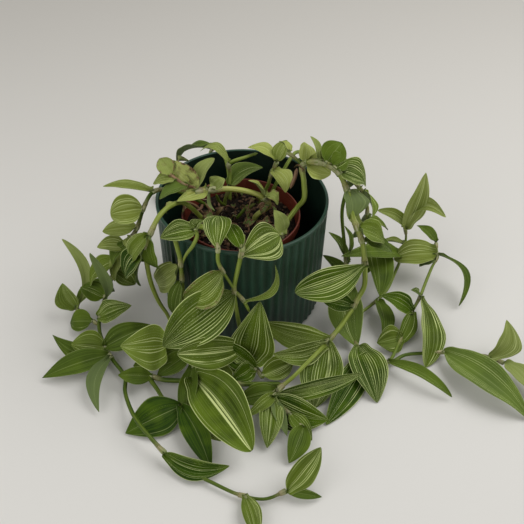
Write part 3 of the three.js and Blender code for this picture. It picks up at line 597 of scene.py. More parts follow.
def grow_leaf(piece, base, row, clasp):
    """A leaf as a closed grid along and round its blade. A point lies at the base plus the span, plus half
    the width times its place across, plus a bow of arch and sway, and the two wings rise from the midrib as
    a rounded V. Near the base the wings close round the stem, towards the tip the midrib curls down, the
    blade twists a little about its midrib, the margins ripple, and a dried leaf crinkles."""
    span = row["tip"] - base
    direction = unit(span)
    reach = length_of(span)[0]
    outward = unit((base + row["tip"]) * [0.5, 0.5, 0])
    upward = np.array([0, 0, 1]) + OUTWARD_LEAN * outward
    face = unit(upward - (upward @ direction) * direction)
    turn = math.radians(row["roll"])
    face = face * math.cos(turn) + np.cross(direction, face) * math.sin(turn)
    side = np.cross(direction, face)

    even = np.linspace(0, 1, LEAF_STATIONS)
    along = (even - CROWDING * np.sin(2 * np.pi * even))[:, None] * LAST_STATION
    across = np.sin(np.pi / 2 * np.linspace(-1, 1, LEAF_COLUMNS))
    across = np.concatenate([across, across[::-1]])[None, :]
    top = np.concatenate([np.ones(LEAF_COLUMNS), np.zeros(LEAF_COLUMNS)])[None, :]

    ripple_count = chance.uniform(*RIPPLES)
    ripple_start, ripple_other = chance.uniform(0, 2 * np.pi, 2)
    curl = chance.uniform(0.0, MOST_CURL)
    twist = chance.normal(0, TWIST_SPREAD) * (along - TWIST_LEVEL) * smooth_step(along * TWIST_RISE)

    half = outline(along, *FORMS[row["form"]]) * row["width"] / 2
    half = np.hypot(half, clasp * bell(along, CLASP_REACH))
    steepness = math.tan(math.radians(row["fold"])) + WRAP_STEEPNESS * bell(along, WRAP_REACH)
    valley = np.sqrt(across ** 2 + VALLEY_ROUNDING ** 2) - VALLEY_ROUNDING
    wing = valley / (math.hypot(1, VALLEY_ROUNDING) - VALLEY_ROUNDING)
    phase = 2 * np.pi * ripple_count * along + np.where(across > 0, ripple_start, ripple_other)
    ripple = RIPPLE_HEIGHT * across ** 2 * np.sin(phase) * smooth_step(along * RIPPLE_RISE)
    first, second = (lengthwise * along + crosswise * across for lengthwise, crosswise in CRINKLES)
    dried = LOOKS[row["look"]][-1]
    crinkle = CRINKLE_HEIGHT * dried * (np.sin(first + ripple_start) * np.sin(second))
    bow = reach * 4 * along * (1 - along)
    droop = curl * row["width"] * smooth_step((along - CURL_START) / (1 - CURL_START)) ** 2
    blade = THIN_EDGE + (THICK_MIDDLE - THIN_EDGE) * np.sqrt(1 - across ** 2)
    rib = MIDRIB_DEPTH * (1 - along) * bell(across * half, MIDRIB_HALF_WIDTH)
    rib = rib * smooth_step((1 - along) * MIDRIB_FADE)
    level = np.where(top > 0, blade / 2, -blade / 2 - rib)
    height = half * (wing * steepness + ripple + crinkle) + level
    shift = half * across
    upright = row["arch"] * bow - droop + height * np.cos(twist) - shift * np.sin(twist)
    sideways = row["sway"] * bow + shift * np.cos(twist) + height * np.sin(twist)

    points = base + along[..., None] * span + sideways[..., None] * side + upright[..., None] * face
    points[..., 2] = np.maximum(points[..., 2], GROUND)
    columns = [along, (across + 1) / 2, *LOOKS[row["look"]], chance.random(), 1 - top]
    columns = [np.broadcast_to(column, points.shape[:2]) for column in columns]
    piece.tube(np.concatenate([points, np.stack(columns, -1)], -1))


# A stem's grid: the sides of its rings, the millimetres between them, the fewest rings, and the samples of
# its curve for each of its points
STEM_SIDES = 10
STEM_SPACING = 2.2
FEWEST_RINGS = 8
CURVE_SAMPLES = 40

# The share by which a stem thins and the place where that starts, the share by which it swells at its
# nodes, and the widths in millimetres of the bell curves for this and for the nodes' tint
THINNING = 0.3
THINNING_START = 0.7
NODE_SWELLING = 0.24
NODE_WIDTH = 1.6
TINT_WIDTH = 3.2

# A sheath in millimetres: how far the node lies before the leaf, how far before the node it starts and how
# far past the leaf it ends. Then its rings, and as shares of the stem's radius its own radius at the node,
# what it gains further up and how fast, and how far its last ring is drawn in.
SHEATH_LENGTH = 4.2
SHEATH_BEFORE = 0.6
SHEATH_BEYOND = 1.5
SHEATH_RINGS = 9
SHEATH_FIT = 1.1
SHEATH_FLARE = 0.22
SHEATH_RISE = 1.4
SHEATH_END = 0.9


def trace(stretch):
    """The curve of a stretch of stem: its points close together, the distance travelled at each of them,
    and the distances at which its leaves leave it."""
    points = stretch["points"]
    places = np.linspace(0, len(points) - 1, CURVE_SAMPLES * len(points))
    line = spline(points, places)
    travelled = np.concatenate([[0], np.cumsum(length_of(np.diff(line, axis=0))[:, 0])])
    leaving = np.array([row["place"] + stretch["first"] for row in stretch["leaves"]])
    leaves_at = np.interp(leaving, places, travelled) if len(leaving) else np.zeros(0)
    return line, travelled, leaves_at


def skin(centres, radii):
    """Rings round a line of centres. Each lies across the line's direction, worked out from its neighbours,
    and starts at the cross product of the direction and the axis that it stays clearest of."""
    direction = unit(np.gradient(centres, axis=0))
    slant = 0.7
    axes = np.vstack([np.eye(3), slant * np.array([[1, 1, 0], [1, -1, 0], [1, 0, 1], [0, 1, 1]])])
    clear = [length_of(np.cross(direction, axis)).min() for axis in axes]
    first = unit(np.cross(direction, axes[int(np.argmax(clear))]))
    second = np.cross(direction, first)
    angle = np.linspace(0, 2 * np.pi, STEM_SIDES, endpoint=False)
    circle = np.cos(angle)[None, :, None] * first[:, None] + np.sin(angle)[None, :, None] * second[:, None]
    rings = centres[:, None] + circle * radii[:, None, None]
    rings[..., 2] = np.maximum(rings[..., 2], GROUND)
    return rings


def with_facts(rings, along, facts):
    """Rings with their UVs, how far along and how far round, and their facts, one value for each ring."""
    columns = [along[:, None], np.linspace(0, 1, STEM_SIDES)[None]]
    columns += [np.reshape(np.asarray(fact, float), (-1, 1)) for fact in facts]
    columns = [np.broadcast_to(column, rings.shape[:2]) for column in columns]
    return np.concatenate([rings, np.stack(columns, -1)], -1)


def grow_stem(piece, stretch):
    """A stem as rings along its curve. Its radius swells at each node as a bell curve, thins towards the
    tip and is rounded off at both ends. A sheath round the stem runs from each node to where the leaf
    leaves. Returns where the leaves leave the stem."""
    line, travelled, leaves_at = trace(stretch)
    whole = travelled[-1]
    radius, age, seed = stretch["radius"], stretch["age"], chance.random()
    distance = np.linspace(0, whole, max(int(whole / STEM_SPACING), FEWEST_RINGS))
    nodes = np.maximum(np.unique(np.round(leaves_at - SHEATH_LENGTH, 0)), 1)
    from_nodes = distance[:, None] - nodes[None]
    swelling = np.clip(bell(from_nodes, NODE_WIDTH).sum(1), 0, 1)
    tint = bell(from_nodes, TINT_WIDTH).max(1, initial=0)
    thin = 1 - THINNING * smooth_step((distance / whole - THINNING_START) / (1 - THINNING_START))
    from_end = np.clip(np.minimum(distance, whole - distance) / radius, 0, 1)
    rounding = np.sqrt(np.clip(1 - (1 - from_end) ** 2, 0.01, 1))
    radii = radius * thin * rounding * (1 + NODE_SWELLING * swelling)
    centres = along_line(distance, travelled, line)
    piece.tube(with_facts(skin(centres, radii), distance, [tint, 0, seed, age]))

    share = np.linspace(0, 1, SHEATH_RINGS)
    last = np.where(share > 0.99, SHEATH_END, 1)
    radii = radius * (SHEATH_FIT + SHEATH_FLARE * smooth_step(share * SHEATH_RISE)) * last
    for node in nodes:
        end = min(node + SHEATH_LENGTH + SHEATH_BEYOND, whole)
        reach = np.linspace(node - SHEATH_BEFORE, end, SHEATH_RINGS)
        centres = along_line(reach, travelled, line)
        piece.tube(with_facts(skin(centres, radii), reach, [1 - share, 1, chance.random(), age]))
    return along_line(leaves_at, travelled, line)


def feed(target, inputs):
    """Gives a node its inputs: a socket is linked, and anything else is set as the value."""
    for key, value in inputs.items():
        if isinstance(value, bpy.types.NodeSocket):
            target.id_data.links.new(value, target.inputs[key])
        else:
            target.inputs[key].default_value = value


def node(kind, inputs, tree=None, **settings):
    """A shader node with its settings and inputs, in the tree of the sockets that feed it."""
    if tree is None:
        tree = next(value.id_data for value in inputs.values() if isinstance(value, bpy.types.NodeSocket))
    made = tree.nodes.new(kind)
    for key, value in settings.items():
        setattr(made, key, value)
    feed(made, inputs)
    return made


def maths(operation, first, second=0.0, third=0.0):
    """The result of one sum of up to three numbers."""
    return node("ShaderNodeMath", {0: first, 1: second, 2: third}, operation=operation).outputs[0]


def times(first, second):
    """The product of two numbers."""
    return maths("MULTIPLY", first, second)


def plus(first, second):
    """The sum of two numbers."""
    return maths("ADD", first, second)


def apart(first, second):
    """How far two numbers are apart."""
    return maths("ABSOLUTE", maths("SUBTRACT", first, second))


def largest(first, *others):
    """The largest of some numbers."""
    for other in others:
        first = maths("MAXIMUM", first, other)
    return first


def fact(tree, name):
    """A fact that the mesh keeps at each of its points."""
    return node("ShaderNodeAttribute", {}, tree, attribute_name=name).outputs["Fac"]


def blended(share, first, second):
    """One colour turned into another by a share."""
    return node("ShaderNodeMix", {0: share, 6: first, 7: second}, data_type="RGBA").outputs[2]


def between(value, low, high, to_low=0.0, to_high=1.0):
    """Rises smoothly from one number to another as the value goes from low to high."""
    made = node("ShaderNodeMapRange", {0: value, 1: low, 2: high, 3: to_low, 4: to_high},
                interpolation_type="SMOOTHSTEP")
    return made.outputs[0]


def speckle(place, scale, detail=3.0, roughness=0.55):
    """Grey noise at a place: its scale counts the clouds in one unit of length, its detail their finer
    layers, and its roughness is the strength of these."""
    inputs = {"Vector": place, "Scale": scale, "Detail": detail, "Roughness": roughness}
    return node("ShaderNodeTexNoise", inputs).outputs["Fac"]


def joined(x, y, z):
    """Three numbers as one place."""
    return node("ShaderNodeCombineXYZ", {0: x, 1: y, 2: z}).outputs[0]


def parted(place):
    """The three numbers of a place."""
    return node("ShaderNodeSeparateXYZ", {0: place}).outputs


def on_surface(tree):
    """The place on a leaf or a stem: how far along it, and how far across or round it."""
    along, across, _ = parted(node("ShaderNodeUVMap", {}, tree, uv_map="along").outputs[0])
    return along, across


def here(tree):
    """The place in the part's own frame, in metres."""
    return node("ShaderNodeTexCoord", {}, tree).outputs["Object"]


def colour(red, green, blue):
    """A colour in linear light, without transparency."""
    return (red, green, blue, 1)


def material(name):
    """A new material with its node tree and its shader."""
    made = bpy.data.materials.new(name)
    made.use_nodes = True
    shader = made.node_tree.nodes["Principled BSDF"]
    return made, made.node_tree, shader


def relief(height, distance):
    """Low relief on the surface from a height between 0 and 1, and its depth in metres."""
    return node("ShaderNodeBump", {"Height": height, "Distance": distance, "Strength": 1.0}).outputs[0]


LEAF_DEEP = colour(0.014, 0.038, 0.002)
LEAF_MIDDLE = colour(0.052, 0.106, 0.003)
LEAF_LIGHT = colour(0.100, 0.168, 0.006)
LIME_DEEP = colour(0.270, 0.320, 0.040)
LIME_LIGHT = colour(0.450, 0.500, 0.150)
CREAM = colour(0.62, 0.70, 0.29)
UNDERSIDE = colour(0.165, 0.215, 0.090)
DRIED_DEEP = colour(0.085, 0.045, 0.022)
DRIED_LIGHT = colour(0.270, 0.180, 0.095)

# The two tones of a stem's streaks at each age: fresh, young, old and dead
STEM_TONES = (
    (colour(0.330, 0.370, 0.060), colour(0.480, 0.500, 0.150)),
    (colour(0.150, 0.215, 0.022), colour(0.275, 0.350, 0.070)),
    (colour(0.040, 0.082, 0.004), colour(0.105, 0.150, 0.016)),
    (colour(0.130, 0.060, 0.035), colour(0.380, 0.240, 0.140)),
)
NODE_TONES = (colour(0.20, 0.15, 0.070), colour(0.40, 0.38, 0.19))
SHEATH_TONES = (colour(0.42, 0.44, 0.24), colour(0.18, 0.24, 0.060))
SHEATH_FOOT = colour(0.26, 0.13, 0.090)

# Each plastic: its deep and light tone, its dust, and its roughness
GREEN_PLASTIC = (colour(0.011, 0.046, 0.026), colour(0.019, 0.070, 0.041), colour(0.076, 0.106, 0.071), 0.38)
RED_PLASTIC = (colour(0.130, 0.022, 0.011), colour(0.185, 0.036, 0.018), colour(0.30, 0.14, 0.09), 0.42)
# Painted shade for the inside of the outer pot and its grooves
DEEP_SHADE = colour(0.001, 0.003, 0.002)


def leaf_finish():
    """A leaf: many veins run side by side from its base to its tip. Between them it is a lighter or deeper
    green, some are drawn as cream lines, a few together as broad cream bands, and the margin is cream. A
    vein is a cell of the place across, and the cell's own random number with the leaf's seed says what it
    carries."""
    made, tree, shader = material("striped leaf")
    along, across = on_surface(tree)
    offset = times(fact(tree, "seed"), 57.0)

    def streaks(width_count, length_count, extra):
        """Soft streaks: noise stretched along the leaf."""
        lengthwise = maths("MULTIPLY_ADD", along, length_count, offset)
        crosswise = maths("MULTIPLY_ADD", across, width_count, extra)
        return speckle(joined(crosswise, lengthwise, offset), 1.0, 2.0, 0.5)

    def drawn(count, share, extra, wander):
        """Lines in a share of the cells: sharp beside, waning and waxing slowly along."""
        moved = maths("MULTIPLY_ADD", streaks(2.0, 1.6, extra), wander, times(across, count))
        cell = maths("FLOOR", moved)
        dice = node("ShaderNodeTexWhiteNoise", {"Vector": joined(cell, offset, extra)}, noise_dimensions="3D")
        reach = maths("MULTIPLY_ADD", parted(dice.outputs["Color"])[1], 0.13, 0.05)
        beside = apart(maths("FRACT", moved), 0.5)
        body = between(maths("SUBTRACT", reach, beside), -0.04, 0.04)
        here_at_all = between(maths("SUBTRACT", share, dice.outputs["Value"]), -0.02, 0.06)
        ebb = speckle(joined(cell, times(along, 2.2), offset), 1.0, 1.0)
        return times(times(body, here_at_all), between(ebb, 0.30, 0.52, 0.15, 1.0))

    veins = streaks(64.0, 0.8, 77.0)
    broad_veins = streaks(24.0, 0.7, 15.0)
    cells = speckle(here(tree), 1100.0, 2.0)
    patches = speckle(here(tree), 40.0, 2.0)

    band = drawn(9.0, times(fact(tree, "bands"), 0.45), 5.0, 0.8)
    band = times(band, between(veins, 0.30, 0.46, 0.45, 1.0))
    line = drawn(16.0, times(fact(tree, "lines"), 0.74), 31.0, 1.2)
    hair = drawn(46.0, times(fact(tree, "lines"), 0.50), 63.0, 2.0)
    off_middle = apart(across, 0.5)
    rim = times(between(off_middle, 0.480, 0.491), fact(tree, "margin"))
    keel = times(between(off_middle, 0.012, 0.004), 0.30)
    from_stripe = maths("SUBTRACT", across, fact(tree, "stripe"))
    wide_band = between(apart(from_stripe, 0.0), 0.026, 0.017)
    thin_band = between(apart(from_stripe, -0.075), 0.014, 0.007)
    full_length = between(plus(along, times(veins, 0.3)), 0.18, 0.50, 0.25)
    double_band = times(largest(wide_band, thin_band), full_length)
    cream = largest(band, double_band, times(line, 0.88), rim, keel, times(hair, 0.15))

    lighter = times(fact(tree, "tone"), 0.45)
    tone = plus(between(plus(veins, broad_veins), 0.78, 1.22), lighter)
    deep = blended(tone, LEAF_DEEP, LEAF_MIDDLE)
    patchy = plus(between(patches, 0.35, 0.68, 0.0, 0.7), lighter)
    green = blended(patchy, deep, LEAF_LIGHT)
    green = blended(fact(tree, "lime"), green, blended(tone, LIME_DEEP, LIME_LIGHT))
    top = blended(cream, green, CREAM)
    blade = blended(fact(tree, "underside"), top, blended(0.60, top, UNDERSIDE))
    greyed = blended(times(fact(tree, "grey"), 0.8), blade, UNDERSIDE)
    torn = between(speckle(here(tree), 260.0, 3.0), 0.44, 0.60)
    edge_torn = plus(torn, between(off_middle, 0.30, 0.5))
    withering = between(times(edge_torn, fact(tree, "dried")), 0.25, 0.80)
    brown = blended(between(cells, 0.35, 0.65), DRIED_DEEP, DRIED_LIGHT)
    feed(shader, {
        "Base Color": blended(withering, greyed, brown),
        "Roughness": between(cells, 0.3, 0.7, 0.40, 0.56),
        "Specular IOR Level": 0.06,
        "Normal": relief(maths("MULTIPLY_ADD", cells, 0.35, veins), 0.00020),
    })
    return made


def stem_finish():
    """A stem: fine lengthwise streaks, from yellowish over green and dull to brown as it ages, pinkish and
    paler at its nodes, with pale thin sheaths."""
    made, tree, shader = material("stem skin")
    along, around = on_surface(tree)
    offset = times(fact(tree, "seed"), 31.0)
    place = joined(times(around, 9.0), times(along, 0.05), offset)
    streaks = speckle(place, 1.0, 3.0)
    dots = speckle(here(tree), 1400.0, 2.0)
    age, joint = fact(tree, "age"), fact(tree, "joint")
    streaked = between(streaks, 0.35, 0.65)
    green, young, old, dead = (blended(streaked, *tones) for tones in STEM_TONES)
    for start, older in ((-1.0, young), (0.0, old), (1.0, dead)):
        green = blended(between(age, start, start + 1.0), green, older)
    pink = blended(between(dots, 0.35, 0.65), *NODE_TONES)
    knotted = blended(times(joint, 0.6), green, pink)
    papery = blended(between(streaks, 0.40, 0.62), *SHEATH_TONES)
    papery = blended(times(joint, 0.45), papery, SHEATH_FOOT)
    papery = blended(between(age, 1.0, 2.0), papery, dead)
    feed(shader, {
        "Base Color": blended(fact(tree, "sheath"), knotted, papery),
        "Roughness": between(dots, 0.3, 0.7, 0.36, 0.52),
        "Specular IOR Level": 0.20,
        "Normal": relief(plus(streaks, dots), 0.00015),
    })
    return made


def earth_finish():
    """Potting soil: near-black brown, mottled with lighter peat fibres, rough all over."""
    made, tree, shader = material("potting soil")
    coarse = speckle(here(tree), 260.0, 5.0, 0.7)
    grains = speckle(here(tree), 1500.0, 4.0, 0.7)
    black, brown = colour(0.006, 0.004, 0.003), colour(0.030, 0.018, 0.011)
    dark = blended(between(coarse, 0.35, 0.65), black, brown)
    feed(shader, {
        "Base Color": blended(between(grains, 0.58, 0.72), dark, colour(0.13, 0.085, 0.055)),
        "Roughness": 0.92,
        "Specular IOR Level": 0.25,
        "Normal": relief(plus(coarse, grains), 0.0012),
    })
    return made


def crumb_finish():
    """Crumbs and bark: each has its own tone between black peat, brown bark and pale fibre."""
    made, tree, shader = material("crumbs and bark")
    tone = fact(tree, "tone")
    mottle = speckle(here(tree), 900.0, 4.0, 0.7)
    peat = blended(mottle, colour(0.008, 0.006, 0.004), colour(0.050, 0.030, 0.018))
    bark = blended(mottle, colour(0.060, 0.028, 0.014), colour(0.190, 0.105, 0.060))
    straw = blended(mottle, colour(0.26, 0.19, 0.11), colour(0.50, 0.42, 0.28))
    brown = blended(between(tone, 0.45, 0.60), peat, bark)
    feed(shader, {
        "Base Color": blended(between(tone, 0.86, 0.92), brown, straw),
        "Roughness": 0.88,
        "Specular IOR Level": 0.3,
        "Normal": relief(mottle, 0.0006),
    })
    return made


def plastic_finish(name, deep, light, dust, roughness):
    """Moulded plastic: a near-even tone with soft clouds, a little dust, fine scuffs and uneven gloss."""
    made, tree, shader = material(name)
    place = here(tree)
    clouds = speckle(place, 28.0, 3.0)
    fine = speckle(place, 1100.0, 3.0, 0.6)
    upright = node("ShaderNodeMapping", {"Vector": place, "Scale": (900.0, 900.0, 30.0)}).outputs[0]
    scuffs = between(speckle(upright, 1.0, 2.0), 0.63, 0.74)
    dusty = between(speckle(place, 140.0, 5.0, 0.7), 0.52, 0.80, 0.0, 0.30)
    tone = blended(between(clouds, 0.3, 0.7), deep, light)
    tone = blended(dusty, tone, dust)
    tone = blended(times(scuffs, 0.16), tone, dust)
    feed(shader, {
        # Painted shade: the shade fact darkens the plastic towards DEEP_SHADE inside the outer pot and in its
        # grooves
        "Base Color": blended(times(fact(tree, "shade"), 0.75), tone, DEEP_SHADE),
        "Roughness": between(plus(clouds, fine), 0.7, 1.3, roughness - 0.08, roughness + 0.1),
        "Normal": relief(fine, 0.00012),
    })
    return made


# How far a leaf reaches round its stem, as a share of the stem's radius
LEAF_CLASP = 1.25

leaf_material = leaf_finish()
stem_material = stem_finish()

for name, stretches in PLANT.items():
    foliage, stalks = Piece(*LEAF_FACTS), Piece(*STEM_FACTS)
    for stretch in stretches:
        bases = grow_stem(stalks, stretch)
        for base, row in zip(bases, stretch["leaves"]):
            grow_leaf(foliage, base, row, stretch["radius"] * LEAF_CLASP)
    foliage.finish(name + "_leaves", leaf_material, name, "foliage")
    stalks.finish(name + "_stalk", stem_material, name, "foliage")

# The profiles of the pots and of the soil begin this far from the axis, and a fan closes the middle
AXIS_GAP = 0.5


def lathe(piece, profile, centre=(0, 0), sides=96, change=None):
    """A turned form: each point of the profile, a radius and a height, goes round the centre. A change may
    move the radii and heights by the angle, and may add facts."""
    profile = np.array(profile, float)
    angle = np.linspace(0, 2 * np.pi, sides, endpoint=False)[None]
    radius = np.broadcast_to(profile[:, :1], (len(profile), sides))
    height = np.broadcast_to(profile[:, 1:], (len(profile), sides))
    facts = []
    if change:
        radius, height, *facts = change(radius, height, np.broadcast_to(angle, radius.shape))
    x, y = centre[0] + radius * np.cos(angle), centre[1] + radius * np.sin(angle)
    piece.tube(np.stack([x, y, height, np.zeros_like(x), np.zeros_like(x), *facts], -1))


def softened(corners, bend=0.6, steps=5, most=0.45):
    """A profile through the corners with each one rounded: a quadratic arc leaves the straight line a bend
    before the corner, or at most a share of the line, and joins the next line as far after it."""
    corners = np.array(corners, float)
    made = [corners[:1]]
    for before, corner, after in zip(corners, corners[1:], corners[2:]):
        to_before, to_after = before - corner, after - corner
        start = corner + to_before * min(most, bend / max(np.hypot(*to_before), 1e-6))
        end = corner + to_after * min(most, bend / max(np.hypot(*to_after), 1e-6))
        share = np.linspace(0, 1, steps)[:, None]
        made.append((1 - share) ** 2 * start + 2 * share * (1 - share) * corner + share ** 2 * end)
    made.append(corners[-1:])
    return np.vstack(made)


# The outer pot's underside is hollow inside a foot ring, whose two slopes begin this far in from the base.
# Its grooves fade over some millimetres at the top and at the foot, are widened by a power, and lie in some
# shade.
FOOT_HOLLOW = 0.9
FOOT_RING_INSET = (12, 9)
GROOVE_FADES = (1.2, 1.5)
GROOVE_POWER = 0.75
GROOVE_SHADE = 0.55


def outer_pot():
    """The outer pot: a cup whose outside moves in between its ribs by a raised cosine of sixty turns, which
    fades out at the foot and below the plain band of the rim. The inside lies in full shade."""
    rib_top = POT_HEIGHT - RIM_BAND - RIB_DEPTH
    inner, outer = (POT_BASE_RADIUS - inset for inset in FOOT_RING_INSET)
    outside = softened([
        (AXIS_GAP, FOOT_HOLLOW), (inner, FOOT_HOLLOW), (outer, 0),
        (POT_BASE_RADIUS - RIB_DEPTH - FOOT_CHAMFER, 0), (POT_BASE_RADIUS, FOOT_CHAMFER * 1.6),
        (POT_RIM_RADIUS - 0.2, rib_top), (POT_RIM_RADIUS, rib_top + RIB_DEPTH),
        (POT_RIM_RADIUS, POT_HEIGHT), (POT_RIM_RADIUS - POT_WALL, POT_HEIGHT),
        (POT_BASE_RADIUS - POT_WALL - RIB_DEPTH, POT_FLOOR), (AXIS_GAP, POT_FLOOR),
    ])
    top_first = int(np.argmax(outside[:, 1])) + 1
    inner_first = top_first + int((outside[:, 1] > POT_HEIGHT - 0.1).sum())

    def ribs(radius, height, angle):
        """Grooves on the outside wall, and the shade in them and inside."""
        number = np.arange(len(radius))[:, None]
        on_wall = (radius > POT_BASE_RADIUS - RIB_DEPTH - 0.5) & (number < top_first)
        at_top, at_foot = GROOVE_FADES
        fade = smooth_step((rib_top + at_top / 2 - height) / at_top) * smooth_step((height - 0.2) / at_foot)
        groove = np.where(on_wall, fade * (0.5 - 0.5 * np.cos(RIB_COUNT * angle)) ** GROOVE_POWER, 0)
        shade = np.where(number >= inner_first, 1, GROOVE_SHADE * groove)
        return radius - RIB_DEPTH * groove, height, shade

    cup = Piece("shade")
    lathe(cup, outside, sides=RIB_COUNT * 10, change=ribs)
    finish = plastic_finish("dark green plastic", *GREEN_PLASTIC)
    cup.finish("ribbed_pot", finish, "outer_pot", "pot_plastic")


def nursery_radius(height):
    """The radius of the nursery pot's wall below its lip, which widens evenly upwards."""
    widening = NURSERY_RIM_RADIUS - NURSERY_LIP - NURSERY_BASE_RADIUS
    return NURSERY_BASE_RADIUS + widening * (height - NURSERY_FOOT) / (NURSERY_HEIGHT - NURSERY_LIP_HEIGHT)


def nursery_pot():
    """The nursery pot: a tapered thin cup with a deeper lip, and drain holes cut through its floor."""
    floor = NURSERY_FOOT + NURSERY_WALL
    profile = softened([
        (AXIS_GAP, NURSERY_FOOT), (NURSERY_BASE_RADIUS, NURSERY_FOOT), (nursery_radius(LIP_FOOT), LIP_FOOT),
        (NURSERY_RIM_RADIUS, LIP_FOOT), (NURSERY_RIM_RADIUS, NURSERY_RIM),
        (NURSERY_RIM_RADIUS - NURSERY_WALL, NURSERY_RIM), (nursery_radius(LIP_FOOT) - NURSERY_WALL, LIP_FOOT),
        (nursery_radius(floor) - NURSERY_WALL, floor), (AXIS_GAP, floor),
    ], bend=0.5)
    cup = Piece()
    lathe(cup, profile, NURSERY_CENTRE, sides=128)
    finish = plastic_finish("brick red plastic", *RED_PLASTIC)
    made = cup.finish("red_nursery_pot", finish, "nursery_pot", "nursery_plastic")
    drills = Piece()
    for angle in np.arange(DRAIN_HOLES) * 2 * np.pi / DRAIN_HOLES:
        centre = (NURSERY_CENTRE[0] + DRAIN_RING_RADIUS * np.cos(angle), DRAIN_RING_RADIUS * np.sin(angle))
        lathe(drills, [(DRAIN_HOLE_RADIUS, height) for height in (NURSERY_FOOT - 1, floor + 1)], centre, 24)
    cutter = drills.finish("drain_cutter", finish, "nursery_pot", "nursery_plastic")
    cut = made.modifiers.new("drain holes", "BOOLEAN")
    cut.operation, cut.solver, cut.object = "DIFFERENCE", "EXACT", cutter
    bpy.context.view_layer.update()
    drilled = bpy.data.meshes.new_from_object(made.evaluated_get(bpy.context.evaluated_depsgraph_get()))
    made.modifiers.clear()
    made.data = drilled
    bpy.data.objects.remove(cutter)


def humps(x, y):
    """The soil's low humps above its mean level: a product and a difference of slow sines."""
    return 1.3 * np.sin(x * 0.19 + 1) * np.cos(y * 0.23) + 0.9 * np.sin(x * 0.07 - y * 0.31)


def lumps(x, y):
    """Small lumps of the soil: four crossed sines of short wavelengths."""
    return (0.60 * np.sin(x * 0.9 + 1.7) * np.sin(y * 0.8 + 0.4) + 0.40 * np.sin(x * 1.9 - y * 1.3)
            + 0.3 * np.sin(x * 0.7 + y * 2.3 + 2) + 0.15 * np.sin(x * 3.1 + 0.3) * np.sin(y * 3.3))


def on_soil(x, y, above):
    """A point above the soil's surface."""
    return placed(x, y, SOIL_TOP + humps(x, y) + lumps(x, y) + above)


# The rings and sides of the soil's top, and the millimetres at its edge over which humps and lumps grow
SOIL_RINGS = 46
SOIL_SIDES = 120
SOIL_EDGE = 2.5


def soil():
    """The soil: a turned solid as wide as the nursery pot lets it be, whose top carries the humps and the
    lumps. Returns its radius at the top."""
    bottom = NURSERY_FOOT + NURSERY_WALL + TOUCH_GAP
    edge_low = nursery_radius(bottom) - NURSERY_WALL - TOUCH_GAP
    edge_high = nursery_radius(LIP_FOOT) - NURSERY_WALL - TOUCH_GAP
    inward = np.linspace(edge_high - 0.3, 0.4, SOIL_RINGS)
    profile = np.vstack([
        [(AXIS_GAP, bottom), (edge_low, bottom), (edge_high, SOIL_TOP - 0.6)],
        np.stack([inward, np.full_like(inward, SOIL_TOP)], -1),
    ])

    def rough(radius, height, angle):
        """The humps and the lumps on the top."""
        x, y = NURSERY_CENTRE[0] + radius * np.cos(angle), NURSERY_CENTRE[1] + radius * np.sin(angle)
        inside = smooth_step((edge_high - radius) / SOIL_EDGE) * (height > SOIL_TOP - 1)
        return radius, height + inside * (humps(x, y) + lumps(x, y))

    earth = Piece()
    lathe(earth, profile, NURSERY_CENTRE, sides=SOIL_SIDES, change=rough)
    earth.finish("potting_soil", earth_finish(), "soil", "soil")
    return edge_high


# The rings of a knob, each a radius and a height
KNOB = np.array([[0.35, -0.9], [0.95, -0.3], [0.9, 0.35], [0.4, 0.9]])
KNOB_SIDES = 6

# What lies on the soil: how many, the tones from and to, and the length, width and height in millimetres
CRUMBS = (
    (760, 0.0, 0.42, 1.9, 1.6, 1.2),
    (230, 0.50, 0.80, 4.2, 2.2, 1.2),
    (46, 0.93, 1.0, 3.4, 0.7, 0.35),
    (18, 0.93, 1.0, 1.5, 1.1, 0.5),
)

# How far a crumb is tilted as a rule, how far of its height its middle stands above the soil, and how far
# it stays from the soil's edge
CRUMB_TILT = 0.35
CRUMB_RISE = 0.25
CRUMB_FROM_EDGE = 1.6


def turned(points, first, second, angle):
    """Points turned by an angle from one of the three axes towards another."""
    matrix = np.eye(3)
    matrix[first, first] = matrix[second, second] = math.cos(angle)
    matrix[first, second] = math.sin(angle)
    matrix[second, first] = -math.sin(angle)
    return points @ matrix


def scattered(reach):
    """A random place on the soil within a reach, even over its area."""
    out, turn = reach * math.sqrt(chance.random()), chance.uniform(0, 2 * math.pi)
    return NURSERY_CENTRE[0] + out * math.cos(turn), NURSERY_CENTRE[1] + out * math.sin(turn)


def scatter_crumbs(reach):
    """Crumbs, bark and fibres on the soil. Each is a small knob of four rings whose points are moved at
    random, made longer and flatter by its kind, turned at random and set partly into the soil."""
    crumbs = Piece("tone")
    angle = np.linspace(0, 2 * np.pi, KNOB_SIDES, endpoint=False)
    for count, low, high, *size in CRUMBS:
        for _ in range(count):
            radius = KNOB[:, :1] * chance.uniform(0.75, 1.2, (len(KNOB), KNOB_SIDES))
            upwards = np.broadcast_to(KNOB[:, 1:], radius.shape)
            local = np.stack([radius * np.cos(angle), radius * np.sin(angle), upwards], -1)
            local = local * (np.array(size) / 2 * chance.uniform(0.6, 1.5))
            turn, tilt = chance.uniform(0, 2 * np.pi), chance.normal(0, CRUMB_TILT)
            local = turned(turned(local, 2, 0, tilt), 0, 1, turn)
            local = local + on_soil(*scattered(reach - CRUMB_FROM_EDGE), CRUMB_RISE * size[2])
            extra = np.broadcast_to([0, 0, chance.uniform(low, high)], local.shape)
            crumbs.tube(np.concatenate([local, extra], -1))
    crumbs.finish("soil_crumbs", crumb_finish(), "soil", "soil")


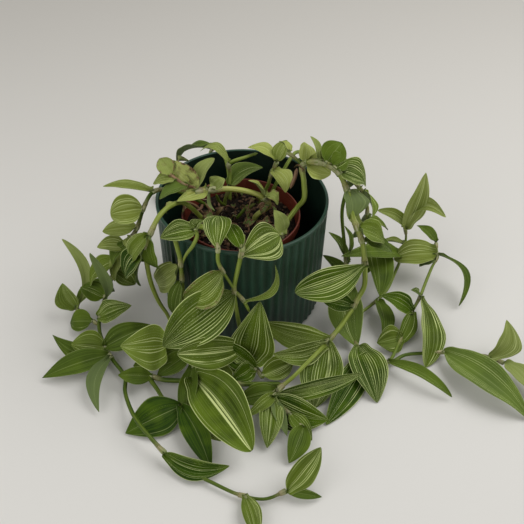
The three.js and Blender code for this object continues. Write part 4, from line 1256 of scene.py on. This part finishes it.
# Withered bits that show in the crown: broken stems, and dried leaves that cling to the nodes, whose rows
# hold the base, tip, look, width, roll and arch
WITHERED_STEMS = (
    run(1.5, 2.0, [(297, 168, 112), (295, 177, 107), (290, 189, 98)]),
    run(1.7, 1.6, [(216, 216, 76), (219, 211, 82), (223, 207, 86)]),
    run(1.1, 2.0, [(203, 202, 78), (200, 209, 84), (192, 213, 84)]),
    run(1.0, 2.0, [(206, 222, 76), (211, 212, 84), (205, 203, 92)]),
    run(1.3, 1.3, [(246, 214, 76), (250, 207, 84), (256, 203, 88)]),
    run(1.2, 1.0, [(236, 219, 74), (243, 211, 82), (248, 204, 86)]),
    run(1.0, 2.0, [(187, 202, 96), (196, 206, 88), (204, 214, 78)]),
    run(1.2, 1.1, [(226, 206, 76), (219, 201, 86), (216, 194, 96)]),
)
WITHERED_LEAVES = (
    ((303, 171, 116), (294, 167, 116), "dead", 5, 0, 0.3),
    ((257, 226, 76), (267, 222, 80), "dead", 6, 20, 0.55),
    ((262, 214, 80), (270, 205, 86), "dead", 7, -20, 0.4),
    ((196, 208, 84), (182, 214, 82), "dead", 9, 10, 0.3),
    ((203, 216, 80), (215, 222, 80), "dead", 8, -10, 0.4),
    ((176, 204, 108), (166, 213, 100), "dry", 6, 20, 0.3),
    ((185, 172, 122), (194, 184, 112), "dry", 9, 30, 0.3),
    ((181, 170, 122), (188, 160, 122), "dry", 8, -30, 0.4),
    ((240, 208, 80), (247, 218, 78), "dead", 7, 0, 0.5),
)

# Scraps on the soil: how many, one in how many is a stem, how far from the soil's edge they begin and end
# at least, and their lengths. Then the widths of the leaves among them, their arch and fold and how high
# their tips stand, and the radii of the stems and how high their middles stand.
SCRAPS = 34
STEM_EACH = 3
SCRAP_FROM_EDGE = 7
SCRAP_END_FROM_EDGE = 2
SCRAP_LENGTHS = (5, 13)
SCRAP_WIDTHS = (3, 7)
SCRAP_ARCH = 0.3
SCRAP_FOLD = 35
SCRAP_TIPS = (0.5, 4)
SCRAP_RADII = (0.5, 1.0)
SCRAP_MIDDLES = (1.5, 4)


def litter(reach):
    """Withered stems and leaves in the crown and on the soil, the last ones scattered by seeded chance."""
    scraps, stubs = Piece(*LEAF_FACTS), Piece(*STEM_FACTS)
    for stretch in WITHERED_STEMS:
        grow_stem(stubs, stretch)
    for base, tip, *rest in WITHERED_LEAVES:
        grow_leaf(scraps, seen(*base), leaf(0, seen(*tip), *rest), 0.6)
    for number in range(SCRAPS):
        start = np.array(scattered(reach - SCRAP_FROM_EDGE))
        heading, long = chance.uniform(0, 2 * math.pi), chance.uniform(*SCRAP_LENGTHS)
        step = np.array([math.cos(heading), math.sin(heading)]) * long
        end = start + step
        if np.hypot(*(end - NURSERY_CENTRE)) > reach - SCRAP_END_FROM_EDGE:
            end = start - step
        if number % STEM_EACH:
            tip = on_soil(*end, chance.uniform(*SCRAP_TIPS))
            row = leaf(0, tip, "dead", chance.uniform(*SCRAP_WIDTHS), 0, SCRAP_ARCH, SCRAP_FOLD)
            grow_leaf(scraps, on_soil(*start, 0.6), row, 0.5)
        else:
            middle = on_soil(*(start + end) / 2, chance.uniform(*SCRAP_MIDDLES))
            points = [on_soil(*start, 0.4), middle, on_soil(*end, 0.6)]
            grow_stem(stubs, run(chance.uniform(*SCRAP_RADII), 2.0, points, at=placed))
    scraps.finish("withered_leaves", leaf_material, "soil", "soil")
    stubs.finish("withered_stems", stem_material, "soil", "soil")


outer_pot()
nursery_pot()
soil_reach = soil()
scatter_crumbs(soil_reach)
litter(soil_reach)


# The floor's half width in metres
FLOOR_REACH = 6


def floor():
    """A plain pale floor, much wider than the plant, with a little painted shade towards the back."""
    mesh = bpy.data.meshes.new("floor")
    corners = [(x * FLOOR_REACH, y * FLOOR_REACH, 0) for x, y in ((-1, -1), (1, -1), (1, 1), (-1, 1))]
    mesh.from_pydata(corners, [], [(0, 1, 2, 3)])
    made, tree, shader = material("pale floor")
    back = parted(here(tree))[1]
    # Painted shade: the far colour darkens the floor towards the back
    near, far = colour(0.735, 0.722, 0.690), colour(0.60, 0.58, 0.54)
    tone = blended(between(back, -0.2, 0.7), near, far)
    feed(shader, {"Base Color": tone, "Roughness": 0.9})
    mesh.materials.append(made)
    thing = put("floor", mesh)


# The lamps in metres and watts: each one's name, place, size and power, and the point that both light
LAMPS = (
    ("window", (0.80, 0.20, 1.15), 1.1, 10.8),
    ("fill", (-0.9, -0.7, 0.9), 1.2, 6.2),
)
LIT_POINT = Vector((0, -0.02, 0.03))
WORLD_STRENGTH = 0.42


def studio():
    """A pale world, a wide soft light from the upper right and behind, and a weaker one from the left."""
    world = bpy.data.worlds.new("studio")
    world.use_nodes = True
    backdrop = world.node_tree.nodes["Background"]
    backdrop.inputs["Color"].default_value = colour(1.0, 0.985, 0.95)
    backdrop.inputs["Strength"].default_value = WORLD_STRENGTH
    bpy.context.scene.world = world
    for name, place, size, power in LAMPS:
        lamp = bpy.data.lights.new(name, "AREA")
        lamp.energy, lamp.size = power, size
        thing = put(name, lamp)
        thing.location = place
        thing.rotation_mode = "QUATERNION"
        thing.rotation_quaternion = (LIT_POINT - Vector(place)).to_track_quat("-Z", "Y")


def camera():
    """The camera at the photograph's viewpoint, its focal length in pixels turned into millimetres."""
    lens = bpy.data.cameras.new("camera")
    lens.sensor_width = SENSOR
    lens.lens = FOCAL_PIXELS * SENSOR / PICTURE_SIDE
    thing = put("camera", lens)
    axes = np.eye(4)
    axes[:3, 0], axes[:3, 1], axes[:3, 2] = picture_right, picture_up, -forward
    axes[:3, 3] = viewpoint * METRES
    thing.matrix_world = Matrix(axes.tolist())
    bpy.context.scene.camera = thing
    bpy.context.scene.view_settings.view_transform = "Standard"


floor()
studio()
camera()
